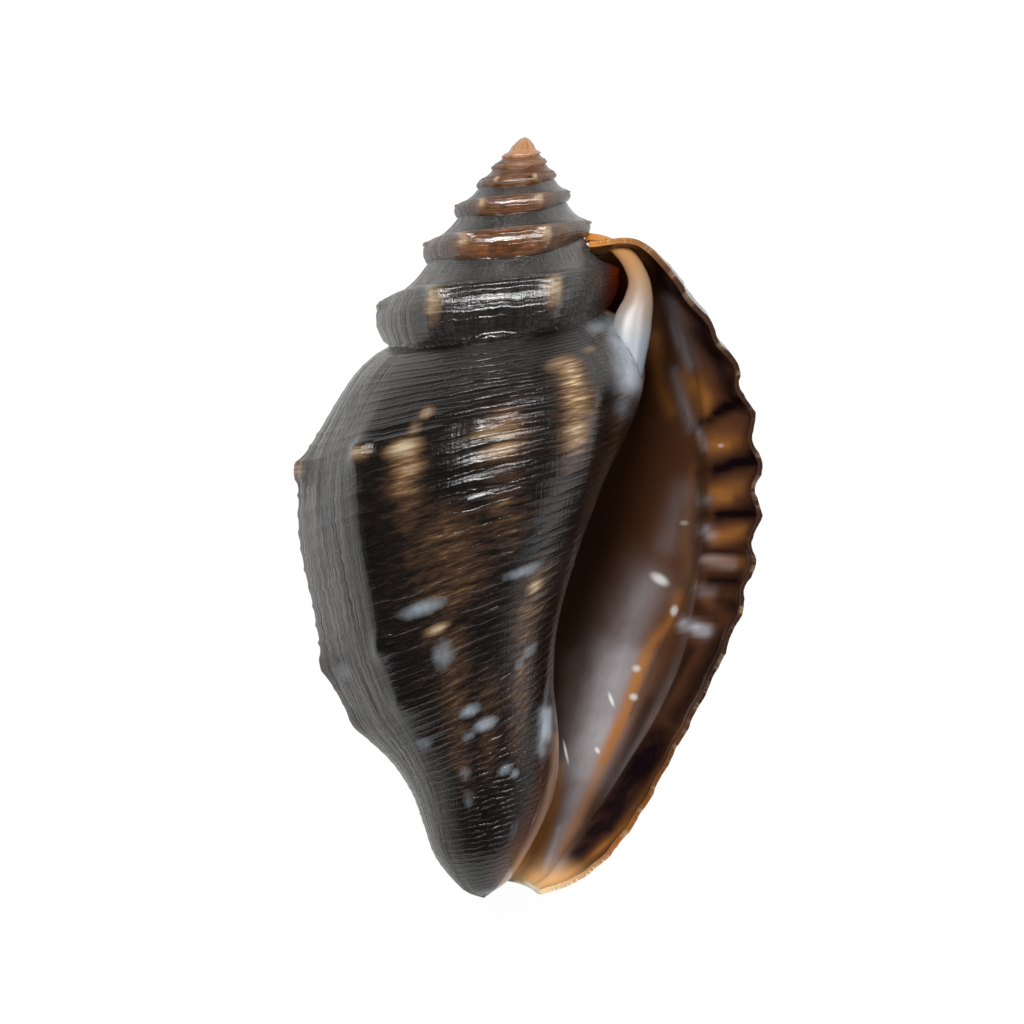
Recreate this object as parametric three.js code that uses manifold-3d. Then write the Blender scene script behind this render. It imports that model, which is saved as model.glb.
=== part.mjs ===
// A crown conch shell, lying on its back with its mouth upwards: a high stepped spire, a knobbed
// body whorl, a flared and crinkled outer lip, a callus ridge beside the mouth and an open canal.
// Millimetres. The apex points along +Y, the mouth along +Z and the outer lip along +X.
import * as THREE from "three";
import { mergeVertices } from "three/addons/utils/BufferGeometryUtils.js";
import Module from "manifold-3d";

// Sizes that the rest is worked out from
const LENGTH = 75; // apex to the end of the canal
const LIP = -24; // growth angle of the lip's edge; larger angles are older shell
const CORE = 402; // from here on the older whorls are solid
const SPIRE_LAW = 540; // older than this, the whorls follow the spire's growth law
const LIP_WALL = 0.55; // wall thickness at the lip's edge
const WALL = 1.35; // wall thickness inside
const SINK = 0.5; // how far the wall's upper edge is let into the whorl under it
const TUCK = 0.15; // how far a stretch of wall slips inside the one that it joins
const SPLIT = 163; // the wall is made in two stretches, because it laps round over itself
const OVERLAP = { split: 2, core: 6 }; // degrees by which the older stretch reaches past its ends
const WALL_GROWTH = 20; // degrees from the lip over which the wall thickens
const REST_DEPTH = 19.85; // the worn flat that the shell lies on, below the axis
const MIDDLE = [2.17, 37.46]; // middle of the shell's length and width, where the origin is

// The spire's growth law: each older turn is smaller by these factors
const TURN_WIDTH = 1.43;
const TURN_DEPTH = 1.56;
const SHOULDER_ANGLES = [360, 450, SPIRE_LAW];
const SHOULDER_RADII = [13.6, 12.8, 11.8];
const SHOULDER_DEPTHS = [23.0, 19.3, 16.2];
const SUTURE_DEPTHS = [16.6, 14.4, 12.3];
const SPIRE_LEAN = 0.11; // the spire leans to the mouth's side, which lowers its sutures there by this share
const SIDE_TAPER = 0.985; // the upright side of a whorl, against its shoulder's radius
const SIDE_FOOT = 1.2; // depth of the side's foot against the shoulder's, where nothing covers it
const RAMP_HOLLOW = 0.02; // how far the ramp under the suture is hollowed, against the radius

// The newest turn: outlines of the whorl as [radius, depth below the apex], from the suture
// over the shoulder to the canal's end, at these growth angles
const OUTLINE_ANGLES = [LIP, 0, 90, 180, 270, 360];
const OUTLINES = [
  [[8.1, 10.4], [13.8, 10.5], [19.6, 16.0], [24.4, 22.5], [26.8, 29.9], [26.9, 37.3], [25.9, 44.6],
    [23.6, 51.1], [20.9, 56.7], [18.3, 61.6], [15.7, 66.5], [12.5, 70.8], [9.4, 73.3], [5.9, 74.6]],
  [[7.4, 10.4], [12.4, 10.8], [16.6, 14.6], [19.7, 21.2], [20.9, 29.6], [21.0, 37.3], [20.3, 44.6],
    [19.1, 51.1], [17.0, 56.7], [14.4, 61.6], [11.6, 66.5], [8.9, 70.5], [6.7, 73.3], [4.9, 74.5]],
  [[9.7, 16.3], [13.6, 17.7], [17.5, 21.7], [20.4, 28.4], [20.5, 34.5], [20.0, 40.9], [18.7, 47.3],
    [16.8, 53.2], [14.6, 58.3], [12.2, 63.1], [10.2, 67.0], [8.1, 70.2], [5.9, 72.4], [4.3, 73.4]],
  [[11.8, 20.5], [14.9, 23.5], [17.3, 27.6], [19.6, 32.7], [19.9, 39.4], [18.4, 46.3], [16.9, 52.3],
    [13.8, 58.0], [10.3, 61.6], [8.0, 64.8], [6.7, 67.9], [5.3, 71.1], [2.4, 74.1], [0.2, 75.0]],
  [[11.2, 19.8], [13.6, 21.9], [15.8, 24.4], [17.7, 28.0], [17.5, 33.5], [15.8, 39.9], [13.4, 46.1],
    [11.0, 52.0], [9.3, 57.5], [7.9, 62.3], [6.7, 66.5], [5.3, 70.5], [2.6, 73.7], [0.3, 74.8]],
  [[9.1, 16.6], [11.2, 17.9], [12.8, 20.0], [13.6, 23.0], [12.4, 27.0], [9.0, 32.4], [6.4, 38.0],
    [4.6, 44.3], [4.5, 51.2], [5.7, 58.1], [5.9, 63.1], [4.9, 67.0], [2.4, 72.4], [0.4, 74.5]],
];
const SHOULDER_ROW = 3; // the outline point at the shoulder
const SIDE_ROW = 4; // the outline point at the foot of the upright side
const LAST_ROW = 13;
const ROW_STEP = 1 / 3;

// The axis leans a little to the lip's side at the apex and away from it at the canal
const AXIS_DEPTHS = [0, 4.2, 10.2, 16.1, 25.9, 40.7, 55.5, 70.3, LENGTH];
const AXIS_SHIFTS = [1.97, 1.48, 0.89, 0.3, 0, 0, -0.5, -1.3, -1.9];

// The solid pillar down the middle
const PILLAR = 3.7;
const PILLAR_FOOT = 74.0;
const PILLAR_MERGE = { from: 150, to: 240, topRow: 7, fullRow: 9 }; // where the wall fills in to meet it
const PILLAR_BITE = 0.8; // that filling reaches inside the pillar, to this share of its radius

// Knobs along the shoulder, with smaller rows below them on the newest turn
const BODY_KNOB_STEP = 40;
const BODY_KNOB_START = 23;
const BODY_KNOB_END = 400;
const SPIRE_KNOB_STEP = 60;
const SPIRE_KNOB_START = 413;
const KNOB_HEIGHT = 0.9;
const SPIRE_KNOB_SHARE = 0.065; // a spire knob's height against its whorl's radius
const KNOB_REACH = 0.95; // how far a knob spreads from its middle
const FULL_RADIUS = 12; // whorls narrower than this have smaller knobs
const ROW_SPACING = 6; // rough distance between two outline points
const RIB_HEIGHT = 0.8; // the upright fold under each knob
const SPIRE_RIB_HEIGHT = 0.75;
const RIB_BASE = 0.385; // share of the fold's height that lies under the plain outline
const FRONT_SHARE = 0.35; // share of the folds and knobs that is left beside the mouth
const SIDE_BULGE = 0.04; // how far a spire whorl's upright side bulges, against its radius
const FOLD_ROWS = [1, 3, 6, 9]; // the fold rises over the first two of these rows and dies over the last
const COVERED = [325, 345, 400, 420]; // no knobs between these angles, where the newest turn hides them
const LOWER_ROWS = [[6, 0.7], [7, 0.45]]; // outline row and height against a shoulder knob
const LOWER_FADE = [235, 300]; // growth angles between which the knobs weaken and the lower rows die out
const CRINKLE = 0.42; // waves along the lip's edge
const CRINKLE_END = LIP + 22; // growth angle at which they have faded
const CRINKLE_ROWS = [1, 3.4, 5.4, 7.4]; // the waves rise over the first two rows and weaken over the last
const CRINKLE_BELOW = 0.22; // share of the waves that is left below, over these rows
const LOWER_CRINKLE_ROWS = [3, 5, 11, 13];
const CANAL_ROWS = [11, 13]; // the wall thins over these rows, towards the canal's end
const CANAL_THINNING = 0.6;
const SLOPE_STEP = 0.2; // step in rows for finding an outline's slope
const THINNEST = 0.05; // smallest radius of a surface point, and its least height over the canal's end

const smooth = (from, to, x) => {
  const t = Math.min(1, Math.max(0, (x - from) / (to - from)));
  return t * t * (3 - 2 * t);
};

// One between the middle two of four limits, easing to nothing at the outer two
const risesAndDies = ([from, full, last, gone], x) => smooth(from, full, x) * (1 - smooth(last, gone, x));

// A smooth curve through the values at the keys, with straight ends
function through(keys, values, x) {
  const last = keys.length - 1;
  const clamped = Math.min(keys[last], Math.max(keys[0], x));
  let i = 0;
  while (i < last - 1 && clamped > keys[i + 1]) i += 1;
  const slope = (k) => {
    const a = Math.max(0, k - 1);
    const b = Math.min(last, k + 1);
    return (values[b] - values[a]) / (keys[b] - keys[a]);
  };
  const span = keys[i + 1] - keys[i];
  const t = (clamped - keys[i]) / span;
  const t2 = t * t;
  const t3 = t2 * t;
  return (2 * t3 - 3 * t2 + 1) * values[i] + (t3 - 2 * t2 + t) * span * slope(i)
    + (3 * t2 - 2 * t3) * values[i + 1] + (t3 - t2) * span * slope(i + 1);
}

// A size at a growth angle: through the given values, then shrinking by a factor a turn
function grown(values, factor, angle) {
  if (angle <= SPIRE_LAW) return through(SHOULDER_ANGLES, values, angle);
  return values[values.length - 1] * factor ** ((SPIRE_LAW - angle) / 360);
}
const shoulderRadius = (angle) => grown(SHOULDER_RADII, TURN_WIDTH, angle);
const shoulderDepth = (angle) => grown(SHOULDER_DEPTHS, TURN_DEPTH, angle);
const axisShift = (depth) => through(AXIS_DEPTHS, AXIS_SHIFTS, depth);

function sutureDepth(angle) {
  const facing = Math.max(0, -Math.sin(THREE.MathUtils.degToRad(angle)));
  if (angle >= 360) return grown(SUTURE_DEPTHS, TURN_DEPTH, angle) * (1 + SPIRE_LEAN * facing ** 2);
  return through(OUTLINE_ANGLES, OUTLINES.map((outline) => outline[0][1]), angle);
}

// The pillar's radius by the share of its length below the whorl's side
const BASE_SHARES = [0.14, 0.26, 0.4, 0.55, 0.68, 0.79, 0.88, 0.95, 1];
const BASE_FALL = [0.5, 0.26, 0.09, 0.02, 0, 0, 0, 0, 0];
const PILLAR_TAPER = [1, 1, 1, 1, 1, 1, 0.8, 0.5, 0.05];

// An older whorl's outline: suture, ramp, shoulder, side, and below it the hidden pillar
function olderOutline(angle) {
  const radius = shoulderRadius(angle);
  const depth = shoulderDepth(angle);
  const top = [SIDE_TAPER * shoulderRadius(angle + 360), sutureDepth(angle)];
  const hollow = RAMP_HOLLOW * radius;
  const ramp = [1 / 3, 2 / 3].map((share) => [
    top[0] + (radius - top[0]) * share - hollow,
    top[1] + (depth - top[1]) * share + hollow,
  ]);
  const side = angle < CORE + 360
    ? [SIDE_TAPER * radius, Math.max(sutureDepth(angle - 360), SIDE_FOOT * depth)]
    : [SIDE_TAPER * radius, sutureDepth(angle - 360)];
  const base = BASE_SHARES.map((share, i) => [
    PILLAR * PILLAR_TAPER[i] + (side[0] - PILLAR) * BASE_FALL[i],
    side[1] + (PILLAR_FOOT - side[1]) * share,
  ]);
  return [top, ...ramp, [radius, depth], side, ...base];
}

const OLDER_ANGLES = SHOULDER_ANGLES.slice(1);
const KEY_ANGLES = [...OUTLINE_ANGLES, ...OLDER_ANGLES];
const KEY_OUTLINES = [...OUTLINES, ...OLDER_ANGLES.map(olderOutline)];
const outlines = new Map();

function outlineAt(angle) {
  if (!outlines.has(angle)) {
    outlines.set(angle, angle >= OLDER_ANGLES[0] ? olderOutline(angle) : KEY_OUTLINES[0].map((_, row) =>
      [0, 1].map((part) => through(KEY_ANGLES, KEY_OUTLINES.map((o) => o[row][part]), angle))));
  }
  return outlines.get(angle);
}

const ROWS = Array.from({ length: LAST_ROW + 1 }, (_, row) => row);
const FINE_ROWS = Array.from({ length: LAST_ROW / ROW_STEP + 1 }, (_, i) => i * ROW_STEP);

function onOutline(angle, row) {
  const outline = outlineAt(angle);
  const rows = angle < CORE + 360 ? ROWS : ROWS.slice(0, SIDE_ROW + 1);
  return [0, 1].map((part) => through(rows, rows.map((r) => outline[r][part]), row));
}

// The radius of one turn's outline at a depth, or nothing where it doesn't reach
function radiusAt(angle, depth) {
  const end = angle < CORE + 360 ? LAST_ROW : SIDE_ROW;
  let before = onOutline(angle, 0);
  if (depth < before[1]) return 0;
  for (let row = ROW_STEP; row <= end + 1e-6; row += ROW_STEP) {
    const here = onOutline(angle, row);
    if (here[1] >= depth) {
      const share = (depth - before[1]) / Math.max(1e-6, here[1] - before[1]);
      return before[0] + (here[0] - before[0]) * share;
    }
    before = here;
  }
  return 0;
}

// How far an angle is from the nearest knob, and the half-distance between knobs
function nearestKnob(angle) {
  const body = angle < BODY_KNOB_END;
  const step = body ? BODY_KNOB_STEP : SPIRE_KNOB_STEP;
  const start = body ? BODY_KNOB_START : SPIRE_KNOB_START;
  const turns = (angle - start) / step;
  return { away: Math.abs(turns - Math.round(turns)) * step, half: step / 2, body };
}

// Knobs, the folds under them and the lip's crinkle, as a height added to the radius
function relief(angle, row, radius) {
  const { away, half, body } = nearestKnob(angle);
  const size = Math.min(1, radius / FULL_RADIUS);
  const arc = (away * Math.PI / 180) * radius;
  const knob = (middle, height, reach) =>
    height * Math.exp(-((arc / reach) ** 2) / 2 - (((row - middle) * ROW_SPACING) / reach) ** 2 / 2);
  const covered = risesAndDies(COVERED, angle);
  const early = 1 - smooth(...LOWER_FADE, angle);
  const left = (FRONT_SHARE + (1 - FRONT_SHARE) * early) * (1 - covered);
  const tall = body ? KNOB_HEIGHT * left : SPIRE_KNOB_SHARE * radius;
  const rib = body ? RIB_HEIGHT * left : SPIRE_RIB_HEIGHT * size * (1 - covered);
  let height = knob(SHOULDER_ROW, tall, KNOB_REACH * size);
  height += rib * risesAndDies(FOLD_ROWS, row) * ((1 - away / half) ** 2 - RIB_BASE);
  if (body) {
    for (const [middle, share] of LOWER_ROWS) height += knob(middle, KNOB_HEIGHT * early * share, KNOB_REACH);
  } else {
    const along = Math.min(1, Math.max(0, row - SHOULDER_ROW));
    height += SIDE_BULGE * radius * Math.sin(Math.PI * along);
  }
  return height * smooth(LIP, CRINKLE_END, angle) + crinkle(angle, row);
}

function crinkle(angle, row) {
  const near = 1 - smooth(LIP, CRINKLE_END, angle);
  const upper = risesAndDies(CRINKLE_ROWS, row);
  const lower = CRINKLE_BELOW * risesAndDies(LOWER_CRINKLE_ROWS, row);
  return -CRINKLE * near * Math.max(upper, lower) * Math.cos((Math.PI * row) / ROW_STEP);
}

// A place on the shell from its growth angle, radius and depth below the apex
function place(angle, radius, depth) {
  const turn = THREE.MathUtils.degToRad(angle);
  return [
    axisShift(depth) + radius * Math.cos(turn),
    LENGTH - depth,
    -radius * Math.sin(turn),
  ];
}

const edgeRadius = (angle, radius, depth) => {
  const under = Math.max(radiusAt(angle + 360, depth), radiusAt(angle + 720, depth));
  return under > 0 ? Math.min(radius, under - SINK) : radius;
};

// The outside and the inside of the newest wall
function outside(angle, row, tuck = 0) {
  const [radius, depth] = onOutline(angle, row);
  const raised = radius + relief(angle, row, radius) - tuck;
  return place(angle, Math.max(THINNEST, row === 0 ? edgeRadius(angle, radius, depth) : raised), depth);
}

function inside(angle, row, tuck = 0) {
  const here = onOutline(angle, row);
  const before = onOutline(angle, Math.max(0, row - SLOPE_STEP));
  const after = onOutline(angle, Math.min(LAST_ROW, row + SLOPE_STEP));
  const along = [after[0] - before[0], after[1] - before[1]];
  const size = Math.hypot(...along) || 1;
  const thinned = 1 - CANAL_THINNING * smooth(...CANAL_ROWS, row);
  const growth = smooth(0, WALL_GROWTH, angle - LIP) * thinned;
  let wall = LIP_WALL + (WALL - LIP_WALL) * growth - tuck;
  const { from, to, topRow, fullRow } = PILLAR_MERGE;
  const merge = smooth(from, to, angle) * smooth(topRow, fullRow, row);
  wall += Math.max(0, here[0] - PILLAR_BITE * PILLAR - wall) * merge;
  const radius = here[0] - (wall * along[1]) / size + crinkle(angle, row);
  const depth = here[1] + (wall * along[0]) / size;
  const edge = row === 0 ? edgeRadius(angle, radius, depth) : radius;
  return place(angle, Math.max(THINNEST, edge), Math.min(depth, LENGTH - THINNEST));
}

// Surface building: vertices and triangles collected in plain lists
function newSurface() {
  return { points: [], triangles: [] };
}

function addPoint(surface, point) {
  surface.points.push(...point);
  return surface.points.length / 3 - 1;
}

function addTriangle(surface, a, b, c) {
  if (a !== b && b !== c && a !== c) surface.triangles.push(a, b, c);
}

function addGrid(surface, grid, outward) {
  for (let i = 0; i + 1 < grid.length; i += 1) {
    for (let j = 0; j + 1 < grid[i].length; j += 1) {
      const [a, b, c, d] = [grid[i][j], grid[i + 1][j], grid[i + 1][j + 1], grid[i][j + 1]];
      addTriangle(surface, a, ...(outward ? [d, c] : [b, c]));
      addTriangle(surface, a, ...(outward ? [c, b] : [c, d]));
    }
  }
}

// Closes the strip between two edges that hold different numbers of points
function zip(surface, left, right) {
  let i = 0;
  let j = 0;
  while (i < left.length - 1 || j < right.length - 1) {
    const nextLeft = (i + 1) / (left.length - 1);
    const nextRight = (j + 1) / (right.length - 1);
    if (j === right.length - 1 || (i < left.length - 1 && nextLeft <= nextRight)) {
      addTriangle(surface, left[i + 1], left[i], right[j]);
      i += 1;
    } else {
      addTriangle(surface, right[j], right[j + 1], left[i]);
      j += 1;
    }
  }
}

const wasm = await Module();
wasm.setup();

function solidOf(surface) {
  const mesh = new wasm.Mesh({
    numProp: 3,
    vertProperties: new Float32Array(surface.points),
    triVerts: new Uint32Array(surface.triangles),
  });
  return new wasm.Manifold(mesh);
}

// A stretch of the newest wall as a closed plate, outer and inner faces joined along their edges
function wallSolid(outerAngles, innerAngles, tuckBelow, tuckAbove) {
  const surface = newSurface();
  const tuck = (angle) => (angle < tuckBelow || angle >= tuckAbove ? TUCK : 0);
  const grid = (angles, rows, surfacePoint) => angles.map((angle) =>
    rows.map((row) => addPoint(surface, surfacePoint(angle, row, tuck(angle)))));
  const outer = grid(outerAngles, FINE_ROWS, outside);
  const innerLip = grid(innerAngles.filter((angle) => angle < CRINKLE_END), FINE_ROWS, inside);
  const innerRest = grid(innerAngles.filter((angle) => angle >= CRINKLE_END), ROWS, inside);
  const inner = [...innerLip, ...innerRest];
  addGrid(surface, outer, true);
  addGrid(surface, innerLip, false);
  addGrid(surface, innerRest, false);
  if (innerLip.length > 0) zip(surface, innerLip[innerLip.length - 1], innerRest[0]);
  zip(surface, outer[0], inner[0]);
  zip(surface, inner[inner.length - 1], outer[outer.length - 1]);
  zip(surface, inner.map((line) => line[0]), outer.map((line) => line[0]));
  zip(surface, outer.map((line) => line[line.length - 1]), inner.map((line) => line[line.length - 1]));
  return solidOf(surface);
}

// The spire and the pillar: a spiral strip whose lower edge is the next turn's suture
const TURN_OFFSETS = [0, 6, 11, 16, 27, 43];
const VISIBLE_ROWS = [0, 1, 2, 2.65, 3, 3.4, 4];
const HIDDEN_ROWS = [5, 6, 8, 10, 11, 12];
const CORE_TURNS = 5;
const TIP_RING = { radius: 0.62, depth: 0.42 }; // the ring that rounds the tip, against the last suture

function coreSolid() {
  const surface = newSurface();
  const perTurn = (360 / SPIRE_KNOB_STEP) * TURN_OFFSETS.length;
  const angleOf = (i) =>
    CORE + Math.floor(i / TURN_OFFSETS.length) * SPIRE_KNOB_STEP + TURN_OFFSETS[i % TURN_OFFSETS.length];
  const last = CORE_TURNS * perTurn;
  const columns = [];
  for (let i = 0; i <= last; i += 1) {
    const rows = i < perTurn ? VISIBLE_ROWS : VISIBLE_ROWS.slice(0, -1);
    columns[i] = rows.map((row) => addPoint(surface, corePoint(angleOf(i), row)));
    if (i >= perTurn) columns[i].push(columns[i - perTurn][0]);
  }
  addGrid(surface, columns, true);
  const foot = addPoint(surface, place(0, 0, PILLAR_FOOT));
  const hidden = [];
  for (let i = 0; i <= perTurn; i += 1) {
    const below = HIDDEN_ROWS.map((row) => addPoint(surface, corePoint(angleOf(i), row)));
    hidden[i] = [columns[i][VISIBLE_ROWS.length - 1], ...below, foot];
  }
  addGrid(surface, hidden, true);
  zip(surface, [...columns[0], ...hidden[0].slice(1)], hidden[perTurn]);
  const apex = addPoint(surface, place(0, 0, 0));
  const tip = [];
  for (let i = last - perTurn; i <= last; i += 1) {
    const [radius, depth] = onOutline(angleOf(i), 0);
    const round = place(angleOf(i), radius * TIP_RING.radius, depth * TIP_RING.depth);
    tip.push([apex, i < last ? addPoint(surface, round) : tip[0][1], columns[i][0]]);
  }
  addGrid(surface, tip, true);
  for (let j = 0; j + 1 < VISIBLE_ROWS.length; j += 1) {
    addTriangle(surface, columns[last][j], columns[last][j + 1], tip[0][1]);
  }
  return solidOf(surface);
}

function corePoint(angle, row) {
  const [radius, depth] = onOutline(angle, row);
  const raised = row > 0 && row < SIDE_ROW ? relief(angle, row, radius) : 0;
  return place(angle, radius + raised, depth);
}

// The callus ridge that bridges from the spire to the body whorl beside the mouth
const CALLUS_PATH = [
  [7.9, 65.1, 0.2], [10.0, 64.6, 1.5], [12.0, 63.1, 2.8], [13.1, 60.9, 4.0], [13.1, 58.8, 4.7],
  [12.5, 56.5, 5.1], [12.2, 54.0, 5.3], [12.3, 51.5, 5.4], [12.1, 49.1, 5.4],
];
const CALLUS_HALF_WIDTHS = [0.5, 0.55, 0.85, 1.05, 1.45, 1.9, 1.8, 1.2, 0.5];
const CALLUS_ABOVE = 0.9; // height of the ridge above its middle line
const CALLUS_BELOW = 1.9; // depth of the ridge below it
const CALLUS_STEPS = 16;
const CALLUS_SIDES = 10;

function callusSolid() {
  const path = new THREE.CatmullRomCurve3(CALLUS_PATH.map((p) => new THREE.Vector3(...p)));
  const up = new THREE.Vector3(0, 0, 1);
  const surface = newSurface();
  const keys = CALLUS_HALF_WIDTHS.map((_, i) => i / (CALLUS_HALF_WIDTHS.length - 1));
  const rings = Array.from({ length: CALLUS_STEPS + 1 }, (_, i) => {
    const share = i / CALLUS_STEPS;
    const width = through(keys, CALLUS_HALF_WIDTHS, share);
    const sideways = path.getTangent(share).cross(up).normalize();
    const ring = Array.from({ length: CALLUS_SIDES }, (_, k) => {
      const turn = (2 * Math.PI * k) / CALLUS_SIDES;
      const reach = k < CALLUS_SIDES / 2 ? CALLUS_ABOVE : CALLUS_BELOW;
      const lift = Math.min(1, width) * Math.sin(turn) * reach;
      const point = path.getPoint(share).addScaledVector(sideways, width * Math.cos(turn));
      return addPoint(surface, point.addScaledVector(up, lift).toArray());
    });
    return [...ring, ring[0]];
  });
  const start = addPoint(surface, path.getPoint(0).toArray());
  const end = addPoint(surface, path.getPoint(1).toArray());
  addGrid(surface, rings, false);
  for (let k = 0; k < CALLUS_SIDES; k += 1) {
    addTriangle(surface, rings[0][k], rings[0][k + 1], start);
    addTriangle(surface, rings[CALLUS_STEPS][k + 1], rings[CALLUS_STEPS][k], end);
  }
  return solidOf(surface);
}

// Growth angles of the wall's columns: close together at each knob, wider between them
const KNOB_OFFSETS = [-14, -4, 0, 4, 14];
const COLUMN_GAP = 3; // no column is closer than this to the ends of its stretch
const LIP_COLUMNS = [LIP, LIP + 8, LIP + 16, 0];
const FIRST_COLUMN = 6;

function columnAngles(from, to) {
  const angles = [from];
  for (let knob = BODY_KNOB_START; knob < CORE; knob += BODY_KNOB_STEP) {
    for (const offset of KNOB_OFFSETS) {
      const angle = knob + offset;
      if (angle > from + COLUMN_GAP && angle < to - COLUMN_GAP) angles.push(angle);
    }
  }
  return [...angles, to];
}

const everyOther = (angles) => angles.filter((_, i) => i % 2 === 0 || i === angles.length - 1);

function shellSolid() {
  const newer = [...LIP_COLUMNS, ...columnAngles(FIRST_COLUMN, SPLIT)];
  const start = SPLIT - OVERLAP.split;
  const older = [start, ...columnAngles(SPLIT, CORE), CORE + OVERLAP.core];
  const joined = coreSolid()
    .add(wallSolid(newer, everyOther(newer), -Infinity, Infinity))
    .add(wallSolid(older, [start, ...everyOther(older.slice(1))], SPLIT, CORE))
    .add(callusSolid());
  return joined.decompose().reduce((best, body) => (body.volume() > best.volume() ? body : best));
}

// Cuts the worn flat, leaving the resting plane at z = 0 and the origin in the middle of the shell
function laidDown(solid) {
  const size = 2 * LENGTH;
  const box = new THREE.BoxGeometry(size, size, size).translate(0, 0, -REST_DEPTH - size / 2);
  box.deleteAttribute("normal");
  box.deleteAttribute("uv");
  const { attributes, index } = mergeVertices(box);
  const floor = solidOf({ points: attributes.position.array, triangles: index.array });
  return solid.subtract(floor).translate([-MIDDLE[0], -MIDDLE[1], REST_DEPTH]);
}

function meshOf(solid, name, material) {
  const { vertProperties, triVerts } = solid.getMesh();
  const geometry = new THREE.BufferGeometry();
  geometry.setAttribute("position", new THREE.BufferAttribute(vertProperties, 3));
  geometry.setIndex(new THREE.BufferAttribute(triVerts, 1));
  geometry.computeVertexNormals();
  const mesh = new THREE.Mesh(geometry, material);
  mesh.name = name;
  return mesh;
}

const shellMaterial = new THREE.MeshStandardMaterial({ color: "#3a2c22", roughness: 0.35, metalness: 0 });
const group = new THREE.Group();
group.add(meshOf(laidDown(shellSolid()), "shell", shellMaterial));

export default group;
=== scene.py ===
# %% [markdown]
# # A crown conch shell, lying on its back
# The object is one grown piece: a high stepped spire, a knobbed body whorl, a flared lip with a
# crinkled edge, and a shining inside. A snail makes such a shell by adding lime at the lip while it
# turns round an axis, so every point has a growth angle and a place along the lip's outline.
# This script builds the shell from those two numbers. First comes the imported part, the plain solid
# that fixes the size and the place of everything.

import math

import bmesh
import bpy
import numpy as np
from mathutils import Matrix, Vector
from mathutils.kdtree import KDTree


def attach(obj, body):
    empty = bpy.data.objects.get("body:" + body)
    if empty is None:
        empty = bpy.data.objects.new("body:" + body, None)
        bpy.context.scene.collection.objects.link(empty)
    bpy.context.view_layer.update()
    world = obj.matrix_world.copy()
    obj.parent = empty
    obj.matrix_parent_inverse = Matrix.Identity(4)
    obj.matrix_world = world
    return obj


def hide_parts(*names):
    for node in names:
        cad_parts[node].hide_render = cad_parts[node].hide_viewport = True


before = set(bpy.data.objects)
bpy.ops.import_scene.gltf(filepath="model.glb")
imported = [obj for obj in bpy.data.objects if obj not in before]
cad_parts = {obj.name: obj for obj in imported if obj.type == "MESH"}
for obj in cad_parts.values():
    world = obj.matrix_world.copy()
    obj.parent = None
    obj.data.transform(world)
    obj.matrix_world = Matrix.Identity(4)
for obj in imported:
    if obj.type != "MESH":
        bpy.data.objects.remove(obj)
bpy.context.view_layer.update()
MM = 0.001

# %% [markdown]
# The growth law. A turn of the spire is smaller than the next by a fixed factor, but the newest
# turn is too uneven for that, so six measured outlines at six growth angles carry it, and smooth
# curves run between them. A mesh could also be pushed and pulled by hand, but then no number would
# say where a point grew, and the colours further down need that. Angles are in degrees, counted
# backwards from near the lip. Each outline is a list of radius and depth below the apex in
# millimetres, from the seam (the suture) over the shoulder down to the canal. These are the solid's
# own values, so the fine surface lies on it.

# %% Measures of the shell
LENGTH = 75.0  # apex to the end of the canal
LIP = -24.0  # growth angle of the lip's edge
CORE = 402.0  # older whorls than this are one solid piece with the pillar
SPIRE_LAW = 540.0  # older than this, the whorls follow the growth law alone
LIP_WALL = 0.55  # thickness at the lip's edge
WALL = 1.35  # thickness further back
SINK = 0.5  # how far a wall's upper edge is let into the whorl above it
TUCK = 0.15  # how far a stretch of wall slips inside the one that it joins
SPLIT = 163.0  # the newest turn laps over itself, so its wall is made in two stretches
REST_DEPTH = 19.85  # height of the winding axis above the floor
MIDDLE = (2.17, 37.46)  # middle of the shell's box in plan, which becomes the origin
TURN_WIDTH = 1.43  # a whorl is this many times as wide as the next older one
TURN_DEPTH = 1.56  # and reaches this many times as far down from the apex
SHOULDER_ANGLES = [360, 450, SPIRE_LAW]
SHOULDER_RADII = [13.6, 12.8, 11.8]
SHOULDER_DEPTHS = [23.0, 19.3, 16.2]
SUTURE_DEPTHS = [16.6, 14.4, 12.3]
SPIRE_LEAN = 0.11  # the spire leans to the mouth's side, which lowers its seams there by this share
SIDE_TAPER = 0.985  # a whorl's upright side is this much narrower at its foot
SIDE_FOOT = 1.2  # depth of that foot in shares of the shoulder's, where no older whorl covers it
RAMP_HOLLOW = 0.02  # hollow of the ramp above a shoulder, in shares of the radius
OUTLINE_ANGLES = [LIP, 0, 90, 180, 270, 360]
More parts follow.
